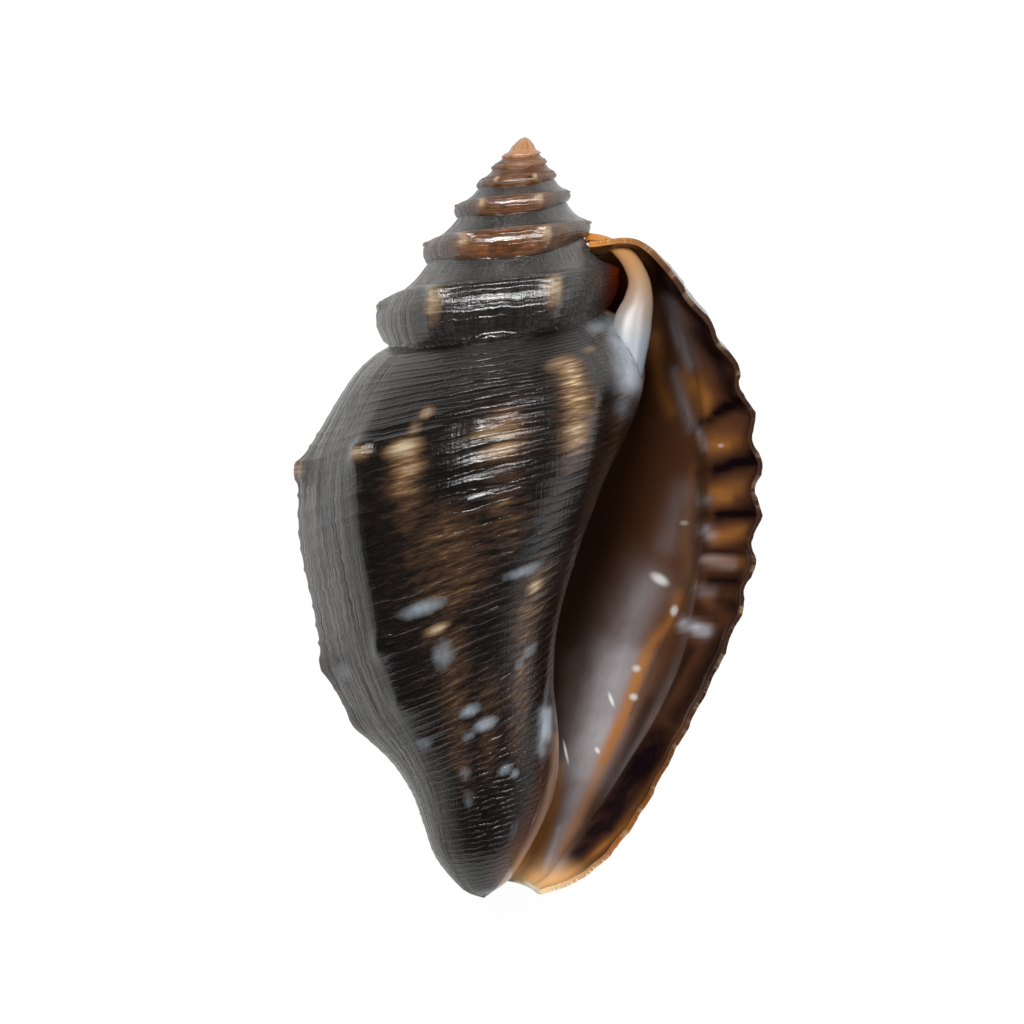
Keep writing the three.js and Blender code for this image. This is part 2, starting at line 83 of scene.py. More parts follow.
OUTLINES = [
    [[8.1, 10.4], [13.8, 10.5], [19.6, 16.0], [24.4, 22.5], [26.8, 29.9], [26.9, 37.3], [25.9, 44.6],
     [23.6, 51.1], [20.9, 56.7], [18.3, 61.6], [15.7, 66.5], [12.5, 70.8], [9.4, 73.3], [5.9, 74.6]],
    [[7.4, 10.4], [12.4, 10.8], [16.6, 14.6], [19.7, 21.2], [20.9, 29.6], [21.0, 37.3], [20.3, 44.6],
     [19.1, 51.1], [17.0, 56.7], [14.4, 61.6], [11.6, 66.5], [8.9, 70.5], [6.7, 73.3], [4.9, 74.5]],
    [[9.7, 16.3], [13.6, 17.7], [17.5, 21.7], [20.4, 28.4], [20.5, 34.5], [20.0, 40.9], [18.7, 47.3],
     [16.8, 53.2], [14.6, 58.3], [12.2, 63.1], [10.2, 67.0], [8.1, 70.2], [5.9, 72.4], [4.3, 73.4]],
    [[11.8, 20.5], [14.9, 23.5], [17.3, 27.6], [19.6, 32.7], [19.9, 39.4], [18.4, 46.3], [16.9, 52.3],
     [13.8, 58.0], [10.3, 61.6], [8.0, 64.8], [6.7, 67.9], [5.3, 71.1], [2.4, 74.1], [0.2, 75.0]],
    [[11.2, 19.8], [13.6, 21.9], [15.8, 24.4], [17.7, 28.0], [17.5, 33.5], [15.8, 39.9], [13.4, 46.1],
     [11.0, 52.0], [9.3, 57.5], [7.9, 62.3], [6.7, 66.5], [5.3, 70.5], [2.6, 73.7], [0.3, 74.8]],
    [[9.1, 16.6], [11.2, 17.9], [12.8, 20.0], [13.6, 23.0], [12.4, 27.0], [9.0, 32.4], [6.4, 38.0],
     [4.6, 44.3], [4.5, 51.2], [5.7, 58.1], [5.9, 63.1], [4.9, 67.0], [2.4, 72.4], [0.4, 74.5]],
]
SHOULDER_ROW, SIDE_ROW, LAST_ROW = 3, 4, 13
AXIS_DEPTHS = [0, 4.2, 10.2, 16.1, 25.9, 40.7, 55.5, 70.3, LENGTH]  # the axis is slightly bent:
AXIS_SHIFTS = [1.97, 1.48, 0.89, 0.3, 0, 0, -0.5, -1.3, -1.9]  # it lies this far to the lip's side
PILLAR = 3.7  # radius of the pillar that the whorls wind round
PILLAR_FOOT = 74.0
PILLAR_BITE = 0.8  # the inner wall runs into the pillar down to this share of its radius
PILLAR_MERGE_ANGLES = (150, 240)
PILLAR_MERGE_ROWS = (7, 9)
BASE_SHARES = [0.14, 0.26, 0.4, 0.55, 0.68, 0.79, 0.88, 0.95, 1]  # hidden rows, down the pillar
BASE_FALL = [0.5, 0.26, 0.09, 0.02, 0, 0, 0, 0, 0]
PILLAR_TAPER = [1, 1, 1, 1, 1, 1, 0.8, 0.5, 0.05]
CANAL_ROWS = (11, 13)
CANAL_THINNING = 0.6  # along the canal the wall gains this share less than elsewhere
WALL_GROWTH = 20.0  # degrees behind the lip over which the wall grows thick
THINNEST = 0.05
print("shell of", LENGTH, "mm, outlines:", len(OUTLINES), "of", LAST_ROW + 1, "points")


# %% Easy rises, and curves through measured values
def smooth(low, high, x):
    """0 below low, 1 above high, and an easy rise between them."""
    t = np.clip((np.asarray(x, float) - low) / (high - low), 0, 1)
    return t * t * (3 - 2 * t)


def rises_and_dies(limits, x):
    """0, then 1 between the second and third of the four limits, then 0 again."""
    return smooth(limits[0], limits[1], x) * (1 - smooth(limits[2], limits[3], x))


def through(keys, values, x):
    """A smooth curve through the values, which lie along their first axis, at the keys."""
    keys, values = np.asarray(keys, float), np.asarray(values, float)
    last = len(keys) - 1
    x = np.clip(np.asarray(x, float), keys[0], keys[-1])
    i = np.clip(np.searchsorted(keys, x, side="left") - 1, 0, last - 1)
    k = np.arange(last + 1)
    low, high = np.maximum(0, k - 1), np.minimum(last, k + 1)
    tail = (1,) * (values.ndim - 1)
    slopes = (values[high] - values[low]) / (keys[high] - keys[low]).reshape((-1,) + tail)
    span = (keys[i + 1] - keys[i]).reshape(x.shape + tail)
    t = (x - keys[i]).reshape(x.shape + tail) / span
    return ((2 * t**3 - 3 * t**2 + 1) * values[i] + (t**3 - 2 * t**2 + t) * span * slopes[i]
            + (3 * t**2 - 2 * t**3) * values[i + 1] + (t**3 - t**2) * span * slopes[i + 1])


print("an easy rise a quarter of the way along:", round(float(smooth(0, 1, 0.25)), 3))


# %% The outline at every growth angle
def grown(values, factor, angle):
    """A size at a growth angle: through the given values, then smaller by a factor a turn."""
    angle = np.asarray(angle, float)
    law = values[-1] * factor ** ((SPIRE_LAW - angle) / 360)
    return np.where(angle <= SPIRE_LAW, through(SHOULDER_ANGLES, values, angle), law)


def suture_depth(angle):
    """Depth of the seam above a whorl."""
    newest = through(OUTLINE_ANGLES, [outline[0][1] for outline in OUTLINES], angle)
    facing = np.maximum(0, -np.sin(np.radians(angle)))
    older = grown(SUTURE_DEPTHS, TURN_DEPTH, angle) * (1 + SPIRE_LEAN * facing**2)
    return np.where(np.asarray(angle) >= 360, older, newest)


def older_outlines(angle):
    """Outlines of the spire's whorls: seam, ramp, shoulder, side, and the hidden pillar below."""
    radius = grown(SHOULDER_RADII, TURN_WIDTH, angle)
    depth = grown(SHOULDER_DEPTHS, TURN_DEPTH, angle)
    top_radius = SIDE_TAPER * grown(SHOULDER_RADII, TURN_WIDTH, angle + 360)
    top_depth = suture_depth(angle)
    hollow = RAMP_HOLLOW * radius
    points = [(top_radius, top_depth)]
    for share in (1 / 3, 2 / 3):
        points.append((top_radius + (radius - top_radius) * share - hollow,
                       top_depth + (depth - top_depth) * share + hollow))
    covered_foot = suture_depth(angle - 360)
    side_depth = np.where(angle < CORE + 360, np.maximum(covered_foot, SIDE_FOOT * depth), covered_foot)
    side_radius = SIDE_TAPER * radius
    points += [(radius, depth), (side_radius, side_depth)]
    for share, fall, taper in zip(BASE_SHARES, BASE_FALL, PILLAR_TAPER):
        points.append((PILLAR * taper + (side_radius - PILLAR) * fall,
                       side_depth + (PILLAR_FOOT - side_depth) * share))
    return np.array(points).transpose(2, 0, 1)


OLDER_ANGLES = np.array(SHOULDER_ANGLES[1:], float)
KEY_ANGLES = [*OUTLINE_ANGLES, *OLDER_ANGLES]
KEY_OUTLINES = np.concatenate([np.array(OUTLINES, float), older_outlines(OLDER_ANGLES)])


def on_outlines(angles, rows):
    """Radius and depth at each growth angle and each outline row: an array angles x rows x 2."""
    angles, rows = np.asarray(angles, float), np.asarray(rows, float)
    newest = through(KEY_ANGLES, KEY_OUTLINES, angles)
    outlines = np.where((angles >= OLDER_ANGLES[0])[:, None, None], older_outlines(angles), newest)
    by_row = outlines.transpose(1, 0, 2)
    whole = through(range(LAST_ROW + 1), by_row, rows)
    upper = through(range(SIDE_ROW + 1), by_row[:SIDE_ROW + 1], rows)
    return np.where((angles >= CORE + 360)[None, :, None], upper, whole).transpose(1, 0, 2)


print("key outlines at", KEY_ANGLES)

# %% [markdown]
# The wall. A snail's wall is thin at the lip and thicker behind it, and its upper edge is laid onto
# the whorl above. Each stretch of wall becomes a grid of points that knows its growth angle, row,
# radius and depth. A list of such named numbers is all that the coiling step below needs. Solidify
# could thicken one sheet, with a vertex group for the thin lip, but it can't lay the sheet's edge
# onto another whorl.

# %% Where a wall's upper edge meets the older whorls
EDGE_ROWS = 1 / 3  # over this many rows the wall comes out of the whorl above
EDGE_CHECKS = 261


def edge_radii(angles, radii, depths):
    """Radius of a wall's upper edge, let into the older whorls at that depth."""
    rows = np.linspace(0, LAST_ROW, EDGE_CHECKS)
    edge = radii.copy()
    for turns in (360, 720):
        under = on_outlines(angles + turns, rows)
        for i in range(len(angles)):
            ending = LAST_ROW if angles[i] + turns < CORE + 360 else SIDE_ROW
            line = under[i][rows <= ending]
            if line[0, 1] <= depths[i] <= line[-1, 1]:
                here = np.interp(depths[i], line[:, 1], line[:, 0])
                edge[i] = min(edge[i], here - SINK) if turns == 360 or here > edge[i] + SINK else edge[i]
    return edge


print("rows that an upper edge is checked against:", EDGE_CHECKS)

# %% The wall's two faces
SLOPE_STEP = 0.2  # rows to each side of a point, for the outline's direction there


def wall_points(angles, rows, inner, tuck):
    """Radius and depth of the wall's outer or inner face."""
    angles, rows = np.asarray(angles, float), np.asarray(rows, float)
    here = on_outlines(angles, rows)
    radius, depth = here[..., 0].copy(), here[..., 1].copy()
    if inner:
        before = on_outlines(angles, np.maximum(0, rows - SLOPE_STEP))
        after = on_outlines(angles, np.minimum(LAST_ROW, rows + SLOPE_STEP))
        along = after - before
        size = np.maximum(1e-6, np.hypot(along[..., 0], along[..., 1]))
        at_canal = 1 - CANAL_THINNING * smooth(*CANAL_ROWS, rows)
        thickened = smooth(0, WALL_GROWTH, angles - LIP)[:, None] * at_canal
        wall = LIP_WALL + (WALL - LIP_WALL) * thickened - tuck[:, None]
        merge = smooth(*PILLAR_MERGE_ANGLES, angles)[:, None] * smooth(*PILLAR_MERGE_ROWS, rows)
        wall = wall + np.maximum(0, radius - PILLAR_BITE * PILLAR - wall) * merge
        radius, depth = radius - wall * along[..., 1] / size, depth + wall * along[..., 0] / size
    else:
        radius = radius - tuck[:, None]
    edge = edge_radii(angles, radius[:, 0], depth[:, 0])
    radius += (edge - radius[:, 0])[:, None] * np.clip(1 - rows / EDGE_ROWS, 0, 1)
    return np.maximum(THINNEST, radius), np.minimum(depth, LENGTH - THINNEST)


shoulder = wall_points([0.0], [SHOULDER_ROW], False, np.zeros(1))
print("the newest shoulder in mm, radius and depth:", [round(v.item(), 1) for v in shoulder])


# %% Points with numbers
class Surface:
    """Points with named numbers, and the faces between them."""

    def __init__(self):
        self.numbers = {name: [] for name in ("growth", "row", "radius", "depth", "inner")}
        self.faces = []

    def add(self, growth, row, radius, depth, inner=0.0):
        """Adds one point for each value, and gives back their indices in the same shape."""
        arrays = np.broadcast_arrays(*[np.asarray(v, float) for v in (growth, row, radius, depth, inner)])
        first = len(self.numbers["growth"])
        for name, values in zip(self.numbers, arrays):
            self.numbers[name].extend(values.ravel().tolist())
        return first + np.arange(arrays[0].size).reshape(arrays[0].shape)

    def face(self, *corners):
        """A face, without corners that fall together."""
        kept = [c for i, c in enumerate(corners) if c != corners[i - 1]]
        if len(kept) > 2:
            self.faces.append(kept)

    def grid(self, points, outward):
        """Quads between neighbouring points, with their faces outward or inward."""
        a, b = points[:-1, :-1].ravel(), points[1:, :-1].ravel()
        c, d = points[1:, 1:].ravel(), points[:-1, 1:].ravel()
        for corners in (zip(a, d, c, b) if outward else zip(a, b, c, d)):
            self.face(*[int(v) for v in corners])

    def zip(self, left, right):
        """Closes the strip between two edges that hold different numbers of points."""
        i = j = 0
        while i < len(left) - 1 or j < len(right) - 1:
            next_left, next_right = (i + 1) / max(1, len(left) - 1), (j + 1) / max(1, len(right) - 1)
            if j == len(right) - 1 or (i < len(left) - 1 and next_left <= next_right):
                self.face(int(left[i + 1]), int(left[i]), int(right[j]))
                i += 1
            else:
                self.face(int(right[j]), int(right[j + 1]), int(left[i]))
                j += 1


print("numbers of a point:", ", ".join(Surface().numbers))

# %% The newest turn's wall, in two stretches
OUTER_ROWS = np.linspace(0, LAST_ROW, 222)
INNER_ROWS = np.linspace(0, LAST_ROW, 131)
OUTER_STEP, INNER_STEP = 1.9, 4.5  # degrees between columns
LIP_STEP, MOUTH_STEP = 1.2, 2.0  # finer, where the photograph looks into the mouth
MOUTH_END = 60.0
OVERLAP_AT_SPLIT = 2.0
OVERLAP_AT_CORE = 6.0


def wall_stretch(outer_angles, inner_angles, tucked):
    """A stretch of the newest wall as a closed plate. tucked says which angles slip inside."""
    surface = Surface()
    grids = []
    for angles, rows, inner in ((outer_angles, OUTER_ROWS, False), (inner_angles, INNER_ROWS, True)):
        angles = np.asarray(angles, float)
        tuck = np.where(tucked(angles), TUCK, 0.0)
        radius, depth = wall_points(angles, rows, inner, tuck)
        points = surface.add(angles[:, None], rows[None, :], radius, depth, float(inner))
        surface.grid(points, not inner)
        grids.append(points)
    outer, inner = grids
    surface.zip(outer[0], inner[0])
    surface.zip(inner[-1], outer[-1])
    surface.zip(inner[:, 0], outer[:, 0])
    surface.zip(outer[:, -1], inner[:, -1])
    return surface


def steps(low, high, step):
    return np.linspace(low, high, int(round((high - low) / step)) + 1)


lip_columns = steps(LIP, 0, LIP_STEP)[:-1]
newer_outer = [*lip_columns, *steps(0, SPLIT, OUTER_STEP)]
newer_inner = [*lip_columns, *steps(0, MOUTH_END, MOUTH_STEP)[:-1], *steps(MOUTH_END, SPLIT, INNER_STEP)]
older_start = SPLIT - OVERLAP_AT_SPLIT
older_outer = [older_start, *steps(SPLIT, CORE, OUTER_STEP), CORE + OVERLAP_AT_CORE]
older_inner = [older_start, *steps(SPLIT, CORE, INNER_STEP), CORE + OVERLAP_AT_CORE]
newer_wall = wall_stretch(newer_outer, newer_inner, lambda angles: np.zeros(len(angles), bool))
older_wall = wall_stretch(older_outer, older_inner, lambda angles: (angles < SPLIT) | (angles >= CORE))
print("wall faces:", len(newer_wall.faces), len(older_wall.faces))

# %% [markdown]
# The spire and the pillar. Each older whorl's side ends where the next whorl's ramp starts, so the
# whole spire is one strip that winds round the axis and is joined to itself, turn to turn. That is
# why it is closed without any cutting. Below the last turn the strip runs on down the pillar, which
# nobody can see into.

# %% The spire and the pillar
COLUMNS_PER_TURN = 108
CORE_TURNS = 6  # one more than the solid has, for the tiny whorl at the tip
VISIBLE_ROWS = np.append(np.linspace(0, SIDE_ROW - 0.04, 28), SIDE_ROW)
HIDDEN_ROWS = np.array([4.5, 5, 5.5, 6, 7, 8, 9, 10, 11, 12])
TIP_RINGS = [(0.9, 0.76), (0.62, 0.42), (0.32, 0.13)]  # shares of the last seam's radius and depth


def spire_and_pillar():
    """The older whorls down to the pillar's foot, closed by a rounded tip."""
    surface = Surface()
    step = 360 / COLUMNS_PER_TURN
    last = CORE_TURNS * COLUMNS_PER_TURN
    angles = CORE + step * np.arange(last + 1)
    line = on_outlines(angles, VISIBLE_ROWS)
    columns = []
    for i, angle in enumerate(angles):
        count = len(VISIBLE_ROWS) if i < COLUMNS_PER_TURN else len(VISIBLE_ROWS) - 1
        column = list(surface.add(angle, VISIBLE_ROWS[:count], line[i, :count, 0], line[i, :count, 1]))
        if i >= COLUMNS_PER_TURN:
            column.append(columns[i - COLUMNS_PER_TURN][0])
        columns.append(column)
    columns = np.array(columns)
    surface.grid(columns, True)
    foot = surface.add(CORE, LAST_ROW, 0.0, PILLAR_FOOT).item()
    below = on_outlines(angles[:COLUMNS_PER_TURN + 1], HIDDEN_ROWS)
    hidden = []
    for i, (radii, depths) in enumerate(below.transpose(0, 2, 1)):
        hidden.append([columns[i, -1], *surface.add(angles[i], HIDDEN_ROWS, radii, depths), foot])
    hidden = np.array(hidden)
    surface.grid(hidden, True)
    surface.zip([*columns[0], *hidden[0, 1:]], hidden[COLUMNS_PER_TURN])
    apex = surface.add(angles[-1], 0, 0.0, 0.0).item()
    ends = range(last - COLUMNS_PER_TURN, last + 1)
    tip = [[columns[i, 0]] for i in ends]
    for radius_share, depth_share in TIP_RINGS:
        for column, i in zip(tip, ends):
            if i < last:
                radius, depth = line[i, 0]
                new = surface.add(angles[i], 0, radius * radius_share, depth * depth_share).item()
            else:
                new = tip[0][len(column)]
            column.append(new)
    tip = np.array([[apex, *reversed(column)] for column in tip])
    surface.grid(tip, True)
    cliff = columns[last]
    for j in range(len(cliff) - 1):
        surface.face(int(cliff[j]), int(cliff[j + 1]), int(tip[0, -2]))
    return surface


core = spire_and_pillar()
print("spire and pillar faces:", len(core.faces))

# %% [markdown]
# The callus. Where the lip meets the spire the snail lays down a smooth ridge of enamel. It is a
# bar that follows a curved path, round above and deeper below, and thin at both ends. A bevelled
# curve would make a bar with one round section, so it is built straight from its path instead, as
# a ring of points at each step.

# %% The callus ridge beside the mouth
CALLUS = 2.0  # the number "inner" is 0 on the outside, 1 on the inside and 2 on the callus
CALLUS_PATH = [
    [7.9, 65.1, 0.2], [10.0, 64.6, 1.5], [12.0, 63.1, 2.8], [13.1, 60.9, 4.0], [13.1, 58.8, 4.7],
    [12.5, 56.5, 5.1], [12.2, 54.0, 5.3], [12.3, 51.5, 5.4], [12.1, 49.1, 5.4],
]
CALLUS_HALF_WIDTHS = [0.5, 0.55, 0.85, 1.05, 1.45, 1.9, 1.8, 1.2, 0.5]
CALLUS_ABOVE, CALLUS_BELOW = 0.9, 1.9
CALLUS_STEPS, CALLUS_SIDES = 64, 32


def callus_ridge():
    """The ridge as a closed bar, its points given by growth angle, radius and depth as the rest."""
    surface = Surface()
    keys = np.linspace(0, 1, len(CALLUS_PATH))
    share = np.linspace(0, 1, CALLUS_STEPS + 1)
    middle = through(keys, CALLUS_PATH, share)
    width = through(keys, CALLUS_HALF_WIDTHS, share)
    along = np.gradient(middle, axis=0)
    sideways = np.cross(along, [0, 0, 1])
    sideways /= np.linalg.norm(sideways, axis=1)[:, None]
    turn = 2 * math.pi * np.arange(CALLUS_SIDES) / CALLUS_SIDES
    reach = np.where(np.sin(turn) > 0, CALLUS_ABOVE, CALLUS_BELOW)
    lift = np.minimum(1, width)[:, None] * (np.sin(turn) * reach)[None, :]
    place = middle[:, None, :] + (width[:, None] * np.cos(turn))[..., None] * sideways[:, None, :]
    place[..., 2] += lift

    def put(point, row):
        """Adds points by their place, turned into a growth angle, radius and depth."""
        point = np.asarray(point)
        depth = LENGTH - point[..., 1]
        off_axis = point[..., 0] - through(AXIS_DEPTHS, AXIS_SHIFTS, depth)
        radius = np.hypot(off_axis, point[..., 2])
        growth = np.degrees(np.arctan2(-point[..., 2], off_axis))
        return surface.add(growth, row, radius, depth, CALLUS)

    rings = put(place, share[:, None])
    start, end = put(middle[0], 0.0).item(), put(middle[-1], 1.0).item()
    closed = np.concatenate([rings, rings[:, :1]], axis=1)
    surface.grid(closed, False)
    for k in range(CALLUS_SIDES):
        surface.face(int(closed[0, k]), int(closed[0, k + 1]), start)
        surface.face(int(closed[-1, k + 1]), int(closed[-1, k]), end)
    return surface


callus = callus_ridge()
print("callus faces:", len(callus.faces))

# %% [markdown]
# Coiling. Each surface is still only a list of named numbers. A Geometry Nodes tree turns them into
# the shell: it raises what repeats along the growth (knobs, the fold under each knob, the cords that
# run round the whorls, the waves of the lip), and then winds every point round the axis. The sizes
# are named inputs of the tree, so a reader can try another knob height and see the shell change.

# %% One helper for nodes
MATH, MIX, RANGE = "ShaderNodeMath", "ShaderNodeMix", "ShaderNodeMapRange"
# Sockets by number: a Map Range reads from 1 to 2 and gives 3 to 4. A Mix has its factor at 0, its
# numbers at 2 and 3, and its colours at 6 and 7.


def add(tree, kind, inputs=(), **settings):
    """Adds a node. inputs go to its sockets by number or name: a node is linked, a value is set."""
    node = tree.nodes.new(kind)
    for name, value in settings.items():
        setattr(node, name, value)
    pairs = inputs.items() if isinstance(inputs, dict) else enumerate(inputs)
    for key, value in pairs:
        if isinstance(value, bpy.types.Node):
            value = next(socket for socket in value.outputs if socket.enabled)
        if isinstance(value, bpy.types.NodeSocket):
            tree.links.new(value, node.inputs[key])
        elif value is not None:
            node.inputs[key].default_value = value
    return node


# %% The tree's named inputs, in millimetres, degrees and shares
COIL_INPUTS = {
    "Knob height": 0.9, "Knob reach": 0.95, "Body knob spacing": 40.0, "Body knob start": 23.0,
    "Spire knob spacing": 60.0, "Spire knob start": 413.0, "Spire from": 400.0, "Full radius": 12.0,
    "Row spacing": 6.0, "Fold height": 0.8, "Fold base": 0.385, "Side bulge": 0.04,
    "Cord height": 0.16, "Cord sharpness": 5.0, "Cords per row": 3.7, "Cord wander": 0.9,
    "Crinkle height": -0.42, "Crinkles per row": 1.5, "Unevenness": 0.12, "Seed": 4.0,
}
POINT_NUMBERS = ("growth", "row", "thread_row", "radius", "depth", "shift", "knob", "lower", "fold", "bulge",
                 "cord", "crinkle", "uneven")
coil = bpy.data.node_groups.new("coil_shell", "GeometryNodeTree")
coil.interface.new_socket(name="Geometry", in_out="INPUT", socket_type="NodeSocketGeometry")
for name, value in COIL_INPUTS.items():
    socket = coil.interface.new_socket(name=name, in_out="INPUT", socket_type="NodeSocketFloat")
    socket.default_value = value
coil.interface.new_socket(name="Material", in_out="INPUT", socket_type="NodeSocketMaterial")
coil.interface.new_socket(name="Geometry", in_out="OUTPUT", socket_type="NodeSocketGeometry")
given = coil.nodes.new("NodeGroupInput").outputs
number = {}
for name in POINT_NUMBERS:
    number[name] = add(coil, "GeometryNodeInputNamedAttribute", {"Name": name}, data_type="FLOAT")
print("inputs:", len(COIL_INPUTS), "numbers on each point:", len(number))

# %% How far a point is from the nearest knob, in degrees and in millimetres
on_spire = add(coil, MATH, [number["growth"], given["Spire from"]], operation="GREATER_THAN")
step = add(coil, MIX, {0: on_spire, 2: given["Body knob spacing"], 3: given["Spire knob spacing"]})
start = add(coil, MIX, {0: on_spire, 2: given["Body knob start"], 3: given["Spire knob start"]})
past = add(coil, MATH, [number["growth"], start], operation="SUBTRACT")
turns = add(coil, MATH, [past, step], operation="DIVIDE")
nearest = add(coil, MATH, [turns], operation="ROUND")
signed = add(coil, MATH, [turns, nearest], operation="SUBTRACT")
away = add(coil, MATH, [signed], operation="ABSOLUTE")
degrees = add(coil, MATH, [away, step], operation="MULTIPLY")
radians = add(coil, MATH, [degrees], operation="RADIANS")
arc = add(coil, MATH, [radians, number["radius"]], operation="MULTIPLY")
size = add(coil, MATH, [number["radius"], given["Full radius"]], operation="DIVIDE", use_clamp=True)
reach = add(coil, MATH, [size, given["Knob reach"]], operation="MULTIPLY")
arc_share = add(coil, MATH, [arc, reach], operation="DIVIDE")
arc_square = add(coil, MATH, [arc_share, arc_share], operation="MULTIPLY")
print("nodes so far:", len(coil.nodes))

# %% A bell-shaped knob at the shoulder and smaller ones below it
KNOB_ROWS = [(SHOULDER_ROW, "knob", 1.0), (6, "lower", 0.7), (7, "lower", 0.45)]
heights = []
for middle, place, share in KNOB_ROWS:
    rows = add(coil, MATH, [number["row"], float(middle)], operation="SUBTRACT")
    below = add(coil, MATH, [rows, given["Row spacing"]], operation="MULTIPLY")
    below_share = add(coil, MATH, [below, reach], operation="DIVIDE")
    square = add(coil, MATH, [below_share, below_share, arc_square], operation="MULTIPLY_ADD")
    half = add(coil, MATH, [square, -0.5], operation="MULTIPLY")
    bell = add(coil, MATH, [half], operation="EXPONENT")
    tall = add(coil, MATH, [given["Knob height"], share], operation="MULTIPLY")
    there = add(coil, MATH, [tall, number[place]], operation="MULTIPLY")
    heights.append(add(coil, MATH, [bell, there], operation="MULTIPLY"))
print("rows with knobs:", [middle for middle, *_ in KNOB_ROWS])

# %% The upright fold under each knob, which comes to a sharp edge, and the bulge of the spire's sides
edge = add(coil, MATH, [away, -2.0, 1.0], operation="MULTIPLY_ADD")
sharp = add(coil, MATH, [edge, 2.0], operation="POWER")
over_base = add(coil, MATH, [sharp, given["Fold base"]], operation="SUBTRACT")
fold = add(coil, MATH, [over_base, given["Fold height"]], operation="MULTIPLY")
heights.append(add(coil, MATH, [fold, number["fold"]], operation="MULTIPLY"))
heights.append(add(coil, MATH, [number["bulge"], given["Side bulge"]], operation="MULTIPLY"))
print("heights to add, with the folds and the bulge:", len(heights))

# %% Cords round the whorl and waves along the lip, as cosines over the outline's rows
DRIFT_BY_DEGREE, DRIFT_BY_ROW = 0.03, 1.6  # how many changes of the cords there are in a degree and a row
slow_x = add(coil, MATH, [number["growth"], DRIFT_BY_DEGREE], operation="MULTIPLY")
slow_y = add(coil, MATH, [number["row"], DRIFT_BY_ROW], operation="MULTIPLY")
slow = add(coil, "ShaderNodeCombineXYZ", [slow_x, slow_y, given["Seed"]])
drift = add(coil, "ShaderNodeTexNoise", {"Vector": slow, "Scale": 1.0, "Detail": 1.0})
for count, height, place in (("Cords per row", "Cord height", "cord"),
                             ("Crinkles per row", "Crinkle height", "crinkle")):
    rows = number["thread_row" if place == "cord" else "row"]
    waves = add(coil, MATH, [rows, given[count]], operation="MULTIPLY")
    if place == "cord":
        waves = add(coil, MATH, [drift, given["Cord wander"], waves], operation="MULTIPLY_ADD")
    phase = add(coil, MATH, [waves, 2 * math.pi], operation="MULTIPLY")
    wave = add(coil, MATH, [phase], operation="COSINE")
    if place == "cord":
        positive = add(coil, MATH, [wave, 0.5, 0.5], operation="MULTIPLY_ADD")
        sharp = add(coil, MATH, [positive, given["Cord sharpness"]], operation="POWER")
        strength = add(coil, RANGE, {"Value": drift, 1: 0.3, 2: 0.7, 3: 1.4, 4: 0.4})
        wave = add(coil, MATH, [sharp, strength], operation="MULTIPLY")
    high = add(coil, MATH, [wave, given[height]], operation="MULTIPLY")
    heights.append(add(coil, MATH, [high, number[place]], operation="MULTIPLY"))
print("heights to add, with the cords and waves:", len(heights))

# %% Slow unevenness, as growth is never quite regular
UNEVEN_BY_DEGREE = 0.05
spot_x = add(coil, MATH, [number["growth"], UNEVEN_BY_DEGREE], operation="MULTIPLY")
spot = add(coil, "ShaderNodeCombineXYZ", [spot_x, number["row"], given["Seed"]])
noise = add(coil, "ShaderNodeTexNoise", {"Vector": spot, "Scale": 1.0, "Detail": 2.0})
centred = add(coil, MATH, [noise, 0.5], operation="SUBTRACT")
rough = add(coil, MATH, [centred, given["Unevenness"]], operation="MULTIPLY")
heights.append(add(coil, MATH, [rough, number["uneven"]], operation="MULTIPLY"))

radius = number["radius"]
for height in heights:
    radius = add(coil, MATH, [radius, height], operation="ADD")
print("heights added in all:", len(heights))

# %% Winding round the axis, in metres, with the origin in the middle of the lying shell
turn = add(coil, MATH, [number["growth"]], operation="RADIANS")
across = add(coil, MATH, [add(coil, MATH, [turn], operation="COSINE"), radius], operation="MULTIPLY")
x = add(coil, MATH, [across, number["shift"]], operation="ADD")
y = add(coil, MATH, [LENGTH, number["depth"]], operation="SUBTRACT")
deep = add(coil, MATH, [add(coil, MATH, [turn], operation="SINE"), radius], operation="MULTIPLY")
z = add(coil, MATH, [deep, -1.0], operation="MULTIPLY")
place = add(coil, "ShaderNodeCombineXYZ", [x, y, z])
moved = add(coil, "ShaderNodeVectorMath", [place, (-MIDDLE[0], -MIDDLE[1], REST_DEPTH)], operation="ADD")
metres = add(coil, "ShaderNodeVectorMath", {0: moved, "Scale": MM}, operation="SCALE")
coiled = add(coil, "GeometryNodeSetPosition", {"Geometry": given["Geometry"], "Position": metres})
realized = add(coil, "GeometryNodeRealizeInstances", [coiled])
dressed = add(coil, "GeometryNodeSetMaterial", {"Geometry": realized, "Material": given["Material"]})
add(coil, "NodeGroupOutput", [dressed])
print("coiling tree:", len(coil.nodes), "nodes")

# %% Where each kind of relief is, as named numbers between 0 and 1
CRINKLE_END = LIP + 22
CRINKLE_ROWS = (1, 3.4, 5.4, 7.4)
LOWER_CRINKLE_ROWS = (3, 5, 11, 13)
CRINKLE_BELOW = 0.22  # share of the lip's waves that is left near the canal
COVERED = (325, 345, 400, 420)  # growth angles where the next turn covers the wall
FRONT_SHARE = 0.35  # share of the folds and knobs that is left beside the mouth
FRONT_FADE = (228, 262)  # growth angles between which folds and knobs weaken
FOLD_ROWS = (1, 3, 6, 9)
SPIRE_KNOB_SHARE = 0.065  # height of a spire knob in shares of its whorl's radius
SPIRE_FOLD = 0.75 / 0.8  # the spire's folds against the body's
SHOULDER_CUT = 1.7  # rounds the oldest whorls' shoulders, in shares of the side bulge
SHOULDER_CUT_ROWS = 0.45
OLDEST = (1300, 1700)
THREAD_LEAN = 0.00011  # rows per squared degree by which threads climb towards the mouth
LEAN_FROM = 225
LEAN_ROWS = (4.5, 7.5)
BODY_CORD_ROWS = (0.3, 0.8, 12, 13)
